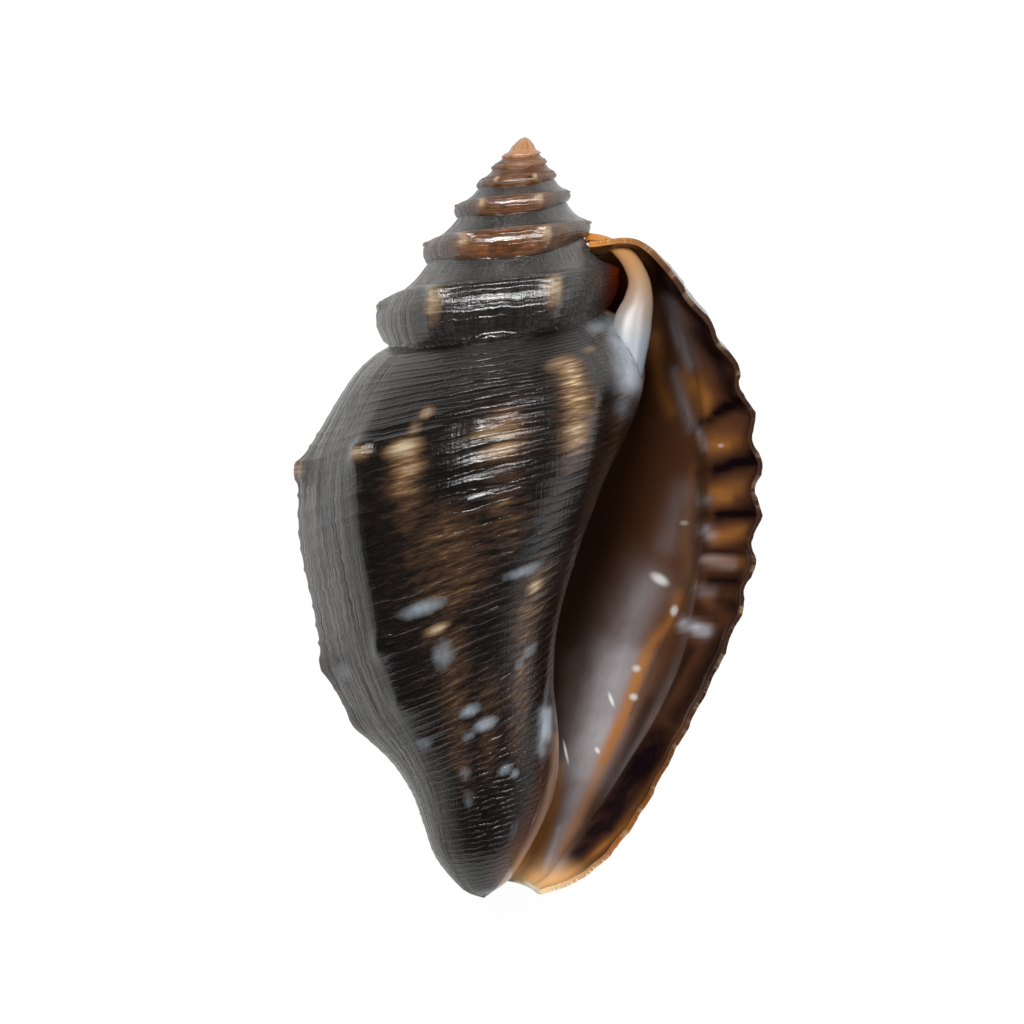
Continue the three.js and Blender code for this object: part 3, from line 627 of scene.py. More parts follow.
SPIRE_CORD_ROWS = (0.2, 0.6, 3.4, 3.9)
CALLUS_SIDE, CALLUS_SIDE_ROWS = (284, 310), (4.0, 6.0)  # enamel hides the cords beside the callus
RAMP_ROWS, RAMP_LOSS = (2.0, 3.0), 0.6  # cords are weaker on the ramps above the shoulders,
LOW_ROWS, LOW_LOSS = (5.0, 7.0), 0.45  # low on the body,
OLD_TURNS, OLD_LOSS = (680, 820), 0.65  # and on the older whorls


def with_relief(surface):
    """The surface's numbers as arrays, with those that say where the relief is."""
    n = {name: np.array(values) for name, values in surface.numbers.items()}
    body = n["growth"] < COIL_INPUTS["Spire from"]
    outside = n["inner"] == 0
    open_air = 1 - rises_and_dies(COVERED, n["growth"])
    grown_up = smooth(LIP, CRINKLE_END, n["growth"])
    size = np.minimum(1, n["radius"] / COIL_INPUTS["Full radius"])
    spire_knob = SPIRE_KNOB_SHARE * n["radius"] / COIL_INPUTS["Knob height"]
    visible = outside & (body | (n["row"] < SIDE_ROW))
    n["shift"] = through(AXIS_DEPTHS, AXIS_SHIFTS, n["depth"])
    lean = THREAD_LEAN * np.maximum(0, n["growth"] - LEAN_FROM) ** 2
    n["thread_row"] = n["row"] + lean * smooth(*LEAN_ROWS, n["row"]) * body
    early = 1 - smooth(*FRONT_FADE, n["growth"])
    left = FRONT_SHARE + (1 - FRONT_SHARE) * early
    n["knob"] = np.where(body, open_air * left, spire_knob) * grown_up * visible
    n["lower"] = early * grown_up * (visible & body)
    rib = np.where(body, left, SPIRE_FOLD * size)
    fold = rises_and_dies(FOLD_ROWS, n["row"]) * open_air * rib
    n["fold"] = fold * grown_up * visible
    along = np.clip(n["row"] - SHOULDER_ROW, 0, 1)
    at_shoulder = np.exp(-((n["row"] - SHOULDER_ROW) / SHOULDER_CUT_ROWS) ** 2)
    blunt = SHOULDER_CUT * at_shoulder * smooth(*OLDEST, n["growth"])
    n["bulge"] = n["radius"] * (np.sin(np.pi * along) - blunt) * (visible & ~body)
    body_ends, spire_ends = (rises_and_dies(rows, n["row"]) for rows in (BODY_CORD_ROWS, SPIRE_CORD_ROWS))
    ends = np.where(body, body_ends, spire_ends)
    smooth_top = smooth(*CALLUS_SIDE, n["growth"]) * (1 - smooth(*CALLUS_SIDE_ROWS, n["row"])) * body
    on_ramp = 1 - RAMP_LOSS * (1 - smooth(*RAMP_ROWS, n["row"]))
    low_down = (1 - LOW_LOSS * smooth(*LOW_ROWS, n["row"])) * (1 - OLD_LOSS * smooth(*OLD_TURNS, n["growth"]))
    n["cord"] = ends * size * visible * (1 - smooth_top) * on_ramp * low_down
    n["uneven"] = ends * visible
    near_lip = 1 - smooth(LIP, CRINKLE_END, n["growth"])
    waves = np.maximum(rises_and_dies(CRINKLE_ROWS, n["row"]),
                       CRINKLE_BELOW * rises_and_dies(LOWER_CRINKLE_ROWS, n["row"]))
    n["crinkle"] = near_lip * waves * (n["inner"] < CALLUS)
    return n


print("a point's numbers now:", ", ".join(with_relief(callus)))


# %% The coiled surfaces as plain meshes
def coiled_object(surface, name, material):
    """A plain mesh object of the surface, coiled and raised by the tree."""
    numbers = with_relief(surface)
    # a flat sheet to start from; its measures don't matter, because the tree places every point
    flat = np.stack([numbers["growth"] / 5, -5 * numbers["row"], numbers["inner"]], axis=1) * MM
    mesh = bpy.data.meshes.new(name)
    mesh.from_pydata(flat.tolist(), [], surface.faces)
    for key, values in numbers.items():
        mesh.attributes.new(key, "FLOAT", "POINT").data.foreach_set("value", values.astype(np.float32))
    sheet = bpy.data.objects.new(name, mesh)
    bpy.context.scene.collection.objects.link(sheet)
    modifier = sheet.modifiers.new("coil", "NODES")
    modifier.node_group = coil
    for item in coil.interface.items_tree:
        if item.in_out == "INPUT" and item.name in COIL_INPUTS:
            modifier[item.identifier] = COIL_INPUTS[item.name]
        elif item.in_out == "INPUT" and item.name == "Material":
            modifier[item.identifier] = material
    evaluated = sheet.evaluated_get(bpy.context.evaluated_depsgraph_get())
    plain = bpy.data.meshes.new_from_object(evaluated)
    sheet.modifiers.clear()
    sheet.data = plain
    bpy.data.meshes.remove(mesh)
    return sheet


# Lime with a little horny conchiolin, laid down in layers by the snail: dark, threaded and glossy
# outside, and polished to porcelain inside. Its nodes follow once the mesh holds their numbers.
material = bpy.data.materials.new("grown_lime_shell")
SURFACES = {"crown_conch_shell": core, "newer_wall": newer_wall, "older_wall": older_wall, "callus": callus}
bodies = [coiled_object(surface, name, material) for name, surface in SURFACES.items()]
print("points:", {body.name: len(body.data.vertices) for body in bodies})

# %% [markdown]
# One closed shell. The four bodies overlap where they meet, as the solid's do. Boolean unions join
# them and take away every hidden wall, so the piece is one closed skin. A voxel remesh would do it
# too, but would blur the threads. The fast Manifold solver keeps the named numbers, which the
# colours below need, but leaves them at zero on the new points along the seams, so those are filled
# in. The worn flat on the back, where the shell lies, is made by pressing the lowest points up to
# the floor.


# %% Helpers for joining
def joined(first, others):
    """The first object with the others united to it."""
    for other in others:
        modifier = first.modifiers.new("join", "BOOLEAN")
        modifier.operation = "UNION"
        modifier.solver = "MANIFOLD"
        modifier.object = other
    evaluated = first.evaluated_get(bpy.context.evaluated_depsgraph_get())
    plain = bpy.data.meshes.new_from_object(evaluated)
    first.modifiers.clear()
    first.data = plain
    for other in others:
        bpy.data.objects.remove(other)
    return first


# %% Helpers that clean up after joining
def keep_largest(mesh):
    """Deletes all but the largest connected body."""
    ends = np.empty(2 * len(mesh.edges), int)
    mesh.edges.foreach_get("vertices", ends)
    ends = ends.reshape(-1, 2)
    label = np.arange(len(mesh.vertices))
    while True:
        low = np.minimum(label[ends[:, 0]], label[ends[:, 1]])
        new = label.copy()
        np.minimum.at(new, ends[:, 0], low)
        np.minimum.at(new, ends[:, 1], low)
        new = new[new]
        if (new == label).all():
            break
        label = new
    kept = np.bincount(label).argmax()
    removed = np.flatnonzero(label != kept)
    if len(removed):
        bm = bmesh.new()
        bm.from_mesh(mesh)
        bm.verts.ensure_lookup_table()
        bmesh.ops.delete(bm, geom=[bm.verts[i] for i in removed.tolist()], context="VERTS")
        bm.to_mesh(mesh)
        bm.free()
    return len(removed)


def fill_numbers(mesh, names):
    """Gives each point without numbers those of the nearest point that has them."""
    values = {}
    for name in names:
        values[name] = np.empty(len(mesh.vertices), np.float32)
        mesh.attributes[name].data.foreach_get("value", values[name])
    empty = (values["growth"] == 0) & (values["radius"] == 0) & (values["depth"] == 0)
    tree = KDTree(int((~empty).sum()))
    for i in np.flatnonzero(~empty).tolist():
        tree.insert(mesh.vertices[i].co, i)
    tree.balance()
    unset = np.flatnonzero(empty)
    nearest = np.array([tree.find(mesh.vertices[i].co)[1] for i in unset.tolist()], int)
    for name in names:
        values[name][unset] = values[name][nearest]
        mesh.attributes[name].data.foreach_set("value", values[name])
    return len(unset)


# %% Joining the bodies
SHARP_ANGLE = 50  # degrees; a sharper edge, as on the lip, isn't shaded smooth
shell = joined(bodies[0], bodies[1:])
mesh = shell.data
print("points dropped with loose bodies:", keep_largest(mesh))
print("points on seams:", fill_numbers(mesh, (*core.numbers, "thread_row")))
points = np.empty(3 * len(mesh.vertices), np.float32)
mesh.vertices.foreach_get("co", points)
points = points.reshape(-1, 3)
points[:, 2] = np.maximum(points[:, 2], 0)
mesh.vertices.foreach_set("co", points.ravel())
mesh.shade_smooth()
mesh.set_sharp_from_angle(angle=math.radians(SHARP_ANGLE))
mesh.update()
print("triangles:", sum(len(p.vertices) - 2 for p in mesh.polygons))

# %% [markdown]
# What colours a shell. The snail's mantle lays down pigment at the lip as it grows, so colour lies in
# stripes: flames that cross the whorl at one growth angle, and fine threads that follow the whorl.
# Sand and stones then wear pale spots through the dark skin. So the masks are painted on the growth
# angle and the row, the shell's own coordinates, and kept as named numbers on the mesh. They could
# be an image on a UV map, but a shell that winds over itself is hard to unwrap, and the numbers are
# there already. The inside is nearly flat to the viewer, and its bands follow the lip, so they are
# strokes in plan.


# %% Helpers for masks
def number_of(name):
    """One of the mesh's named numbers, for every point."""
    values = np.empty(len(mesh.vertices), np.float32)
    mesh.attributes[name].data.foreach_get("value", values)
    return values.astype(float)


def keep_number(name, values):
    """Stores values as a named number that a material can read."""
    mesh.attributes.new(name, "FLOAT", "POINT").data.foreach_set("value", values.astype(np.float32))


def spots(table):
    """Soft spots: growth angle, row, half sizes in degrees and rows, strength."""
    total = np.zeros(len(growth))
    for angle, at_row, wide, high, strength in table:
        away = ((growth - angle) / wide) ** 2 + ((row - at_row) / high) ** 2
        total = np.maximum(total, strength * np.exp(-away))
    return total


def strokes(table):
    """Soft strokes in plan, in millimetres: half width, strength, and the points of the line."""
    total = np.zeros(len(growth))
    for half_width, strength, line in table:
        line = np.array(line, float)
        nearest = np.full(len(growth), FAR)
        for a, b in zip(line[:-1], line[1:]):
            along = np.clip(((plan - a) @ (b - a)) / ((b - a) @ (b - a)), 0, 1)
            away = np.linalg.norm(plan - (a + along[:, None] * (b - a)), axis=1)
            nearest = np.minimum(nearest, away)
        total = np.maximum(total, strength * np.exp(-(nearest / half_width) ** 2))
    return total


growth, row, inner = number_of("growth"), number_of("row"), number_of("inner")
plan = points[:, :2] / MM
FAR = 1e9
print("masks for", len(growth), "points")

# %% Where the glaze of the inside begins on the outside's grid
BODY_END = COIL_INPUTS["Spire from"]
outside, inside_face = inner < 0.5, inner > 0.5
GLAZE_ROWS = [0, 7, 8, 9, 10, 11, 12, 13]
GLAZE_FROM = [345, 345, 338, 326, 314, 306, 300, 300]
GLAZE_LIMIT = 8.0  # degrees to each side of the glaze's edge that the number tells apart
past_edge = np.where(growth < CORE, growth, 0) - through(GLAZE_ROWS, GLAZE_FROM, row)
past_edge = np.clip(past_edge, -GLAZE_LIMIT, GLAZE_LIMIT)
keep_number("glaze", np.where(inside_face, GLAZE_LIMIT, past_edge))
print("glazed points:", int((inside_face | (past_edge > 0)).sum()))

# %% Flames across the body whorl
FLAMES = [  # growth angle, half width, rows where it rises and dies, strength
    (-8, 5, (2.0, 3.0, 8.0, 10.0), 0.5), (22, 7, (1.5, 2.5, 5.5, 6.5), 0.7),
    (52, 6, (2.2, 3.0, 8.0, 9.5), 0.55), (85, 8, (1.8, 2.6, 5.0, 6.4), 0.75),
    (118, 6, (2.4, 3.2, 7.5, 9.0), 0.6), (148, 8, (1.6, 2.6, 5.0, 6.0), 0.7),
    (182, 7, (2.4, 3.0, 6.5, 8.5), 0.35), (212, 6, (2.2, 2.8, 4.0, 5.0), 0.2),
    (239, 6, (2.8, 3.1, 3.7, 4.9), 0.62), (270, 8, (2.5, 2.9, 3.5, 4.2), 0.55),
    (270, 9, (2.0, 3.0, 4.6, 6.0), 0.32), (252, 15, (4.0, 4.6, 5.4, 6.3), 0.42),
    (295, 7, (1.0, 1.8, 3.3, 4.8), 0.85), (320, 8, (1.0, 2.0, 5.0, 7.0), 0.3),
    (247, 9, (5.6, 6.2, 8.4, 10.2), 0.36), (284, 10, (5.2, 5.8, 8.0, 9.6), 0.42),
    (264, 9, (6.4, 7.4, 8.6, 9.6), 0.3),
]
on_body = (growth < BODY_END) & outside
flame = np.zeros(len(growth))
for angle, half_width, limits, strength in FLAMES:
    across = np.exp(-((growth - angle) / half_width) ** 2)
    flame = np.maximum(flame, strength * across * rises_and_dies(limits, row))
keep_number("flames", flame * on_body)
print("flames:", len(FLAMES))

# %% Cream spots under the knobs, and spots worn through to blue-white lime
CREAM = [
    (238, 3.15, 6, 0.2, 1.0), (241, 2.8, 3, 0.25, 0.5), (244, 2.45, 3, 0.2, 0.7), (240, 3.5, 6, 0.1, 0.75),
    (266, 3.2, 8, 0.1, 0.6), (268, 3.55, 8, 0.12, 0.7), (284, 5.88, 4, 0.14, 0.9), (244, 6.0, 5, 0.08, 1.0),
    (224, 3.04, 4, 0.16, 0.75), (184, 3.04, 4, 0.18, 0.75), (144, 3.04, 4, 0.18, 0.8),
    (104, 3.04, 4, 0.18, 0.75), (64, 3.04, 4, 0.18, 0.8), (24, 3.04, 4, 0.18, 0.7), (290, 1.7, 6, 0.3, 0.55),
    (307, 1.4, 5, 0.2, 0.5),
]
WORN = [
    (240, 5.6, 9, 0.13, 0.9), (278, 5.55, 9, 0.1, 0.8), (286, 6.97, 6, 0.16, 0.6),
    (254, 7.57, 6, 0.13, 0.9), (262, 7.94, 7, 0.14, 1.0), (252, 8.06, 5, 0.12, 0.6),
    (225, 7.88, 8, 0.2, 0.5), (276, 9.02, 6, 0.14, 0.75), (284, 9.19, 4, 0.12, 0.7),
    (311, 8.75, 6, 0.55, 1.0), (308, 8.1, 6, 0.5, 0.6), (245, 6.43, 6, 0.3, 0.6), (280, 7.1, 4, 0.16, 0.5),
    (248, 8.86, 6, 0.25, 0.45), (249, 9.5, 7, 0.35, 0.4), (290, 10.6, 8, 0.5, 0.35),
    (120, 5.6, 8, 0.25, 0.8), (60, 7.2, 7, 0.3, 0.7), (150, 7.9, 8, 0.25, 0.6), (20, 8.6, 7, 0.3, 0.6),
    (195, 6.1, 7, 0.2, 0.5), (90, 9.0, 8, 0.25, 0.5),
]
WORN_SHARE = 0.8
SPIRE_SPOT = (5.0, 3.25, 0.4)  # half width in degrees, row and half height in rows
SPIRE_SPOTS_TO = 1850
spire_turns = (growth - COIL_INPUTS["Spire knob start"]) / COIL_INPUTS["Spire knob spacing"]
spire_away = np.abs(spire_turns - np.round(spire_turns)) * COIL_INPUTS["Spire knob spacing"]
half_width, at_row, half_height = SPIRE_SPOT
spire_knob = np.exp(-(spire_away / half_width) ** 2) * np.exp(-((row - at_row) / half_height) ** 2)
spire_knob = spire_knob * ((growth > BODY_END) & (growth < SPIRE_SPOTS_TO))
keep_number("cream", np.maximum(spots(CREAM) * on_body, spire_knob))
keep_number("worn", WORN_SHARE * spots(WORN) * on_body)
print("cream spots:", len(CREAM), "worn spots:", len(WORN))

# %% Older whorls: orange-brown upright sides, a tan tip, and grey painted sheen of the bright floor on the ramps and the left side
TURN_PLACE = growth % 360  # where on its turn a point is: 180 is the left side, 270 the front
LEFT_SHEEN_SIDE = (90, 130, 204, 226)
SIDE_ROWS = (2.6, 2.95, 3.9, 4.0)
AGED, WARM_FRONT, WARM_ON_FLANKS = (700, 880), (212, 232, 300, 325), 0.45
AGED_ALL_OVER, TIP_TURNS = (1250, 1700), (1880, 2440)
SHEEN_FRONT, FRONT_LOSS = (195, 262, 268, 325), 0.75  # the part that faces the camera mirrors the dim room, so it gets less painted sheen
SHEEN_ROWS, SHEEN_SHARES = [0, 2.2, 3.0, LAST_ROW], [1, 1, 0.45, 0.45]
BODY_SHEEN, BODY_SHEEN_FROM, BODY_SHEEN_ROWS, NO_SHEEN_FROM = 0.6, (290, 325), (2.0, 3.4), (1450, 1750)
on_spire = growth > BODY_END
# Painted sheen: the left side of each turn, where the bright floor mirrors in the skin, gets grey in its
# colour.
keep_number("left_sheen", rises_and_dies(LEFT_SHEEN_SIDE, TURN_PLACE) * outside)
keep_number("spire", on_spire * outside)
# Painted sheen: on the flanks the orange-brown is cut back to a share, as the bright floor's sheen hides it
# there.
age = smooth(*AGED, growth) * (WARM_ON_FLANKS + (1 - WARM_ON_FLANKS) * rises_and_dies(WARM_FRONT, TURN_PLACE))
warm = np.maximum(age * rises_and_dies(SIDE_ROWS, row), smooth(*AGED_ALL_OVER, growth))
keep_number("warm", np.where(on_spire, warm, 0))
keep_number("tip", smooth(*TIP_TURNS, growth))
# Painted sheen: grey on the ramps and the flanks, where the bright floor mirrors in the skin, weaker on the
# part that faces the camera.
body_sheen = BODY_SHEEN * smooth(*BODY_SHEEN_FROM, growth) * (1 - smooth(*BODY_SHEEN_ROWS, row))
grey_sheen = (1 - FRONT_LOSS * rises_and_dies(SHEEN_FRONT, TURN_PLACE)) * through(SHEEN_ROWS, SHEEN_SHARES, row)
grey_sheen = grey_sheen * np.where(on_spire, 1.0, body_sheen) * outside * (1 - smooth(*NO_SHEEN_FROM, growth))
keep_number("grey_sheen", grey_sheen)
print("points on the spire:", int((on_spire & outside).sum()))

# %% Strokes on the inside: brown haze, amber bands and dusky folds
HAZE = [
    (2.27, 0.42, [(11.5, -5.1), (9.4, -9.1), (8.0, -13.0), (6.8, -17.9), (5.8, -22.9), (4.2, -27.8)]),
    (1.08, 0.25, [(4.6, -14.0), (4.2, -18.9), (4.0, -23.9)]),
    (0.99, 0.3, [(16.1, 2.7), (16.3, -1.2), (15.9, -5.1), (14.9, -8.1)]),
]
AMBER = [
    (0.89, 0.95, [(16.3, 13.4), (17.2, 12.0), (17.6, 10.8)]), (0.59, 0.6, [(15.5, 14.2), (16.1, 13.2)]),
    (0.69, 0.55, [(12.7, 18.0), (12.8, 15.6), (13.3, 13.1), (14.3, 10.6)]),
    (0.59, 0.9, [(18.2, 7.0), (19.6, 7.1)]), (0.79, 0.45, [(17.6, 7.7), (20.4, 7.5)]),
    (0.59, 0.65, [(18.2, 2.6), (20.8, 2.9)]), (0.49, 0.7, [(18.6, 1.7), (19.8, 1.8)]),
    (0.69, 0.75, [(18.6, -2.0), (20.8, -1.4)]), (0.49, 0.35, [(17.6, -4.1), (21.0, -4.3)]),
    (0.49, 0.2, [(17.8, -8.1), (19.6, -7.7)]), (0.49, 0.2, [(16.5, 4.7), (15.7, -2.2), (16.1, -6.1)]),
    (0.59, 0.6, [(15.1, -7.7), (14.3, -10.3), (12.6, -12.2), (11.5, -14.2)]),
    (0.64, 0.95, [(11.9, -13.6), (10.9, -16.2), (9.8, -19.1), (8.5, -22.1), (7.4, -24.4)]),
    (0.59, 0.6, [(7.4, -24.4), (6.2, -27.4), (5.0, -29.8), (3.4, -32.9)]),
    (0.69, 0.75, [(2.9, -25.0), (2.5, -28.8), (1.9, -31.5), (0.9, -33.5)]),
    (0.59, 0.9, [(0.7, -32.3), (-0.1, -34.3), (0.7, -35.5)]),
    (0.39, 0.55, [(17.0, -17.5), (15.5, -20.1), (13.5, -23.7), (11.1, -27.8), (7.8, -31.9), (5.0, -34.5),
                  (2.9, -36.1)]),
    (0.3, 0.95, [(12.8, -25.6), (10.7, -29.0), (7.8, -31.9), (5.0, -34.3), (2.5, -36.3)]),
    (0.69, 1.0, [(6.2, 26.8), (7.8, 26.4), (9.4, 26.0), (10.7, 25.4)]),
    (0.89, 0.75, [(2.5, -26.8), (1.8, -29.8), (1.1, -32.2)]),
]
DUSK = [
    (0.69, 1.0, [(12.7, 25.6), (13.3, 22.9), (15.3, 21.7), (17.0, 19.9), (17.8, 17.9), (18.8, 16.0)]),
    (0.99, 0.95, [(17.0, 18.5), (18.2, 16.3), (19.2, 14.4), (20.0, 12.6)]),
    (0.79, 0.8, [(16.1, 21.5), (17.0, 19.0)]), (0.79, 1.2, [(18.6, 10.4), (20.2, 11.2), (21.2, 11.2)]),
    (0.49, 0.9, [(17.4, 9.3), (19.2, 10.2)]), (0.79, 1.3, [(18.6, 4.7), (20.2, 5.3), (22.2, 5.7)]),
    (0.39, 0.7, [(17.0, 4.3), (18.6, 4.7)]), (0.69, 1.3, [(18.8, 0.2), (20.6, 0.4), (22.6, 0.6)]),
    (0.39, 0.7, [(17.2, 0.2), (18.8, 0.1)]), (0.49, 0.9, [(17.6, -3.1), (20.0, -3.2), (21.8, -3.0)]),
    (0.89, 0.95, [(18.2, -6.1), (21.4, -6.1)]), (0.99, 0.85, [(19.0, -8.1), (20.8, -8.9)]),
    (0.79, 0.7, [(17.0, -9.1), (18.4, -9.9)]),
    (1.48, 0.85, [(19.2, -12.0), (17.8, -14.2), (16.3, -17.0), (14.5, -19.5)]),
    (0.79, 0.8, [(16.1, -13.0), (14.5, -15.6), (13.1, -18.3)]),
    (0.79, 0.75, [(12.3, -18.3), (10.9, -21.5), (9.2, -25.4), (7.4, -29.0), (6.0, -31.5)]),
    (2.07, 1.1, [(13.1, -21.7), (11.3, -24.3), (9.4, -27.2), (7.6, -29.8)]),
    (1.28, 1.1, [(7.8, -29.3), (6.2, -31.5), (5.0, -33.3)]),
]
print("strokes of haze, amber and dusk:", len(HAZE), len(AMBER), len(DUSK))

# %% Strokes on the inside: pearly grey, partly the glaze's own colour and partly painted sheen of light on its gloss, and a fine line along the folds
PEARLY_SHEEN = [
    (0.69, 0.35, [(13.9, 21.9), (14.7, 19.7), (15.5, 17.1), (16.1, 15.0)]),
    (0.39, 0.4, [(14.3, 19.5), (15.1, 17.0)]), (0.59, 0.3, [(14.7, 14.4), (15.5, 11.6), (16.3, 9.2)]),
    (0.39, 0.5, [(17.0, 8.5), (17.6, 6.9)]), (0.49, 0.35, [(17.0, 1.8), (17.8, 1.8)]),
    (0.49, 0.6, [(17.4, -1.2), (18.2, -1.8)]), (0.39, 0.6, [(17.4, -4.1), (20.2, -4.4)]),
    (0.49, 0.3, [(16.8, -7.1), (18.2, -7.2)]),
    (0.54, 1.1, [(15.5, -10.5), (16.5, -10.8), (17.6, -11.1)]),
    (1.18, 0.15, [(15.5, 2.7), (14.7, 0.3), (13.9, -2.7)]),
    (1.68, 0.32, [(12.3, -6.7), (11.1, -9.1), (10.0, -12.0), (8.8, -15.4), (7.8, -18.3)]),
    (2.17, 0.6, [(9.4, -14.0), (8.2, -17.9), (7.0, -21.9), (5.8, -25.0)]),
    (1.28, 0.42, [(6.2, -24.4), (4.8, -28.2), (3.2, -31.9), (2.1, -34.9)]),
    (0.49, 0.6, [(3.2, -30.8), (2.1, -33.9), (1.5, -35.9)]),
]
FOLD = [
    (0.16, 0.5, [(15.3, 10.8), (16.3, 8.7), (16.9, 6.1), (17.2, 2.7), (17.2, -0.2), (16.8, -3.4),
                 (16.3, -6.1), (15.3, -8.9), (13.9, -11.8), (12.7, -14.4), (11.5, -17.0), (10.3, -19.5)]),
]
LIP_SHADE, LIP_SHADE_ROWS = 1.6, (0.9, 1.5, 9.5, 11.5)  # a dark margin just inside the lip's edge
margin = np.exp(-((growth - LIP) / LIP_SHADE) ** 2) * rises_and_dies(LIP_SHADE_ROWS, row)
for name, table in (("haze", HAZE), ("amber", AMBER), ("dusk", DUSK), ("pearly_sheen", PEARLY_SHEEN), ("fold_line", FOLD)):
    painted_on = np.maximum(strokes(table), margin) if name == "dusk" else strokes(table)
    keep_number(name, painted_on * inside_face)
print("strokes of pearl:", len(PEARLY_SHEEN))

# %% Strokes on the outside beside the mouth
WASH = [  # a thin blue-white film of enamel
    (1.28, 1.0, [(10.0, 18.9), (9.8, 17.0), (10.0, 14.8), (10.4, 13.2)]),
    (0.79, 0.6, [(8.6, 19.5), (8.8, 17.5), (9.2, 15.6)]), (0.79, 0.25, [(10.0, 12.4), (9.4, 10.6)]),
    (0.59, 0.3, [(6.4, 18.5), (7.6, 18.9)]), (0.59, 1.3, [(1.9, -19.1), (1.9, -20.7), (1.8, -22.7)]),
]
UMBER = [  # a brown band along the canal
    (0.89, 0.85, [(2.1, -22.4), (1.8, -25.3), (1.0, -28.1), (-0.0, -30.6), (-1.3, -32.9), (-2.9, -35.3)]),
]
STRIP = [  # and its pale edge
    (0.24, 0.6, [(3.2, -12.5), (3.1, -16.0), (3.0, -20.1)]),
    (0.43, 1.0, [(3.0, -21.4), (2.8, -24.8), (2.1, -27.8), (1.3, -30.0), (0.2, -32.3), (-1.0, -34.5),
                 (-2.2, -36.1)]),
]
HOLLOW = [  # the red-brown hollow behind the callus
    (0.99, 1.1, [(8.5, 25.6), (8.9, 24.2), (8.8, 22.7), (8.4, 21.3)]),
    (0.59, 0.8, [(7.8, 21.5), (8.8, 21.1)]),
]
HOLLOW_TURN = (680, 760)  # growth angles of the spire's wall that shows through the hollow,
HOLLOW_INSIDE, HOLLOW_TOP_ROWS = (15, 90), 3  # and of the newest turn's inner face there
in_front = points[:, 2] > REST_DEPTH * MM
for name, table in (("wash", WASH), ("umber", UMBER), ("strip", STRIP)):
    keep_number(name, strokes(table) * in_front * outside)
behind = in_front & (growth > HOLLOW_TURN[0]) & (growth < HOLLOW_TURN[1]) & outside
within = (growth > HOLLOW_INSIDE[0]) & (growth < HOLLOW_INSIDE[1]) & (row < HOLLOW_TOP_ROWS) & (inner == 1)
keep_number("hollow", strokes(HOLLOW) * (behind | within))
print("strokes outside:", len(WASH) + len(UMBER) + len(STRIP), "in the hollow:", len(HOLLOW))

# %% The lip's edge, the deep inside, the callus and the canal
EDGE_KEYS, EDGE_WIDTHS = [0, 2, 4, 6, 9, 11, LAST_ROW], [5.0, 3.0, 1.2, 0.9, 0.9, 1.3, 2.5]  # rows, degrees
SOLID_EDGE = 0.4  # the part of that width that is fully coloured
FADE_KEYS, FADES = [0, 0.8, 1.6, 2.6, 9, 11, LAST_ROW], [1, 1, 0.4, 0.05, 0.05, 0.5, 1]
CANAL_END_ROWS, CANAL_COLOUR_ROWS = (12.8, 12.95), (11.2, 12.6)
NEWEST_TO = 60
DEEP_FROM, HIDDEN_FROM, HIDDEN_ANGLE = (30, 62), 300, 75  # the mouth darkens inwards over these angles
ENAMEL_FROM = 290
lip_width = through(EDGE_KEYS, EDGE_WIDTHS, row)
rim = 1 - smooth(LIP + SOLID_EDGE * lip_width, LIP + lip_width, growth)
rim = np.where(inside_face, rim * through(FADE_KEYS, FADES, row), rim)  # the edge darkens inwards
canal_end = smooth(*CANAL_END_ROWS, row) * (growth < NEWEST_TO)
not_callus = inner < 1.5
keep_number("rim", np.maximum(rim, canal_end) * not_callus)
depth_inside = smooth(*DEEP_FROM, np.where(growth > HIDDEN_FROM, HIDDEN_ANGLE, growth))
keep_number("deep", np.where(not_callus, depth_inside, 0))
beside_ridge = outside & (growth > ENAMEL_FROM) & (growth < BODY_END) & (row < SIDE_ROW)
keep_number("enamel", (~not_callus | beside_ridge) * 1.0)
keep_number("canal", np.where(not_callus, smooth(*CANAL_COLOUR_ROWS, row), 0))
print("named numbers on the mesh:", len(mesh.attributes))

# %% [markdown]
# The finish. The shell is grown lime: crystals of calcium carbonate in layers, with a little horny
# conchiolin between them. Outside it is dark with pigment and finely threaded, so it shines in
# broken streaks. Inside the mantle has polished it like porcelain, so it shines in broad, soft
# patches. Both are hard and clear at the surface, with an index of refraction of 1.53, the lowest
# of the three that aragonite has, the shell's kind of lime. Two materials would meet in a hard
# line. One material carries both finishes, mixed by the "glaze" number, because the real glaze runs
# out over the outside along the inner lip.


# %% A helper for colours
def linear(colour):
    """An sRGB hex colour as the linear values that Blender's shaders use."""
    parts = [int(colour[i:i + 2], 16) / 255 for i in (1, 3, 5)]
    return (*[c / 12.92 if c <= 0.04045 else ((c + 0.055) / 1.055) ** 2.4 for c in parts], 1.0)


print("middle grey #808080 in linear light:", round(linear("#808080")[0], 3))

# %% The shell material and the mesh's numbers in it
SHELL_IOR = 1.53
PAINTED = ("growth", "row", "thread_row", "glaze", "flames", "cream", "worn", "left_sheen", "spire", "warm", "tip",
           "grey_sheen", "haze", "amber", "dusk", "pearly_sheen", "fold_line", "rim", "deep", "hollow", "enamel", "canal",
           "wash", "umber", "strip")
material.use_nodes = True
tree = material.node_tree
tree.nodes.clear()
number = {}
for name in PAINTED:
    number[name] = add(tree, "ShaderNodeAttribute", attribute_name=name).outputs["Fac"]
print("numbers that the material reads:", len(number))


def coloured(value, stops, full=1.0):
    """A colour ramp of sRGB stops between 0 and 1, read by a number that reaches up to full."""
    share = add(tree, MATH, [value, 1 / full], operation="MULTIPLY")
    node = add(tree, "ShaderNodeValToRGB", [share])
    elements = node.color_ramp.elements
    while len(elements) < len(stops):
        elements.new(0.5)
    for i, (position, colour) in enumerate(stops):
        elements[i].position = position
        elements[i].color = linear(colour)
    return node


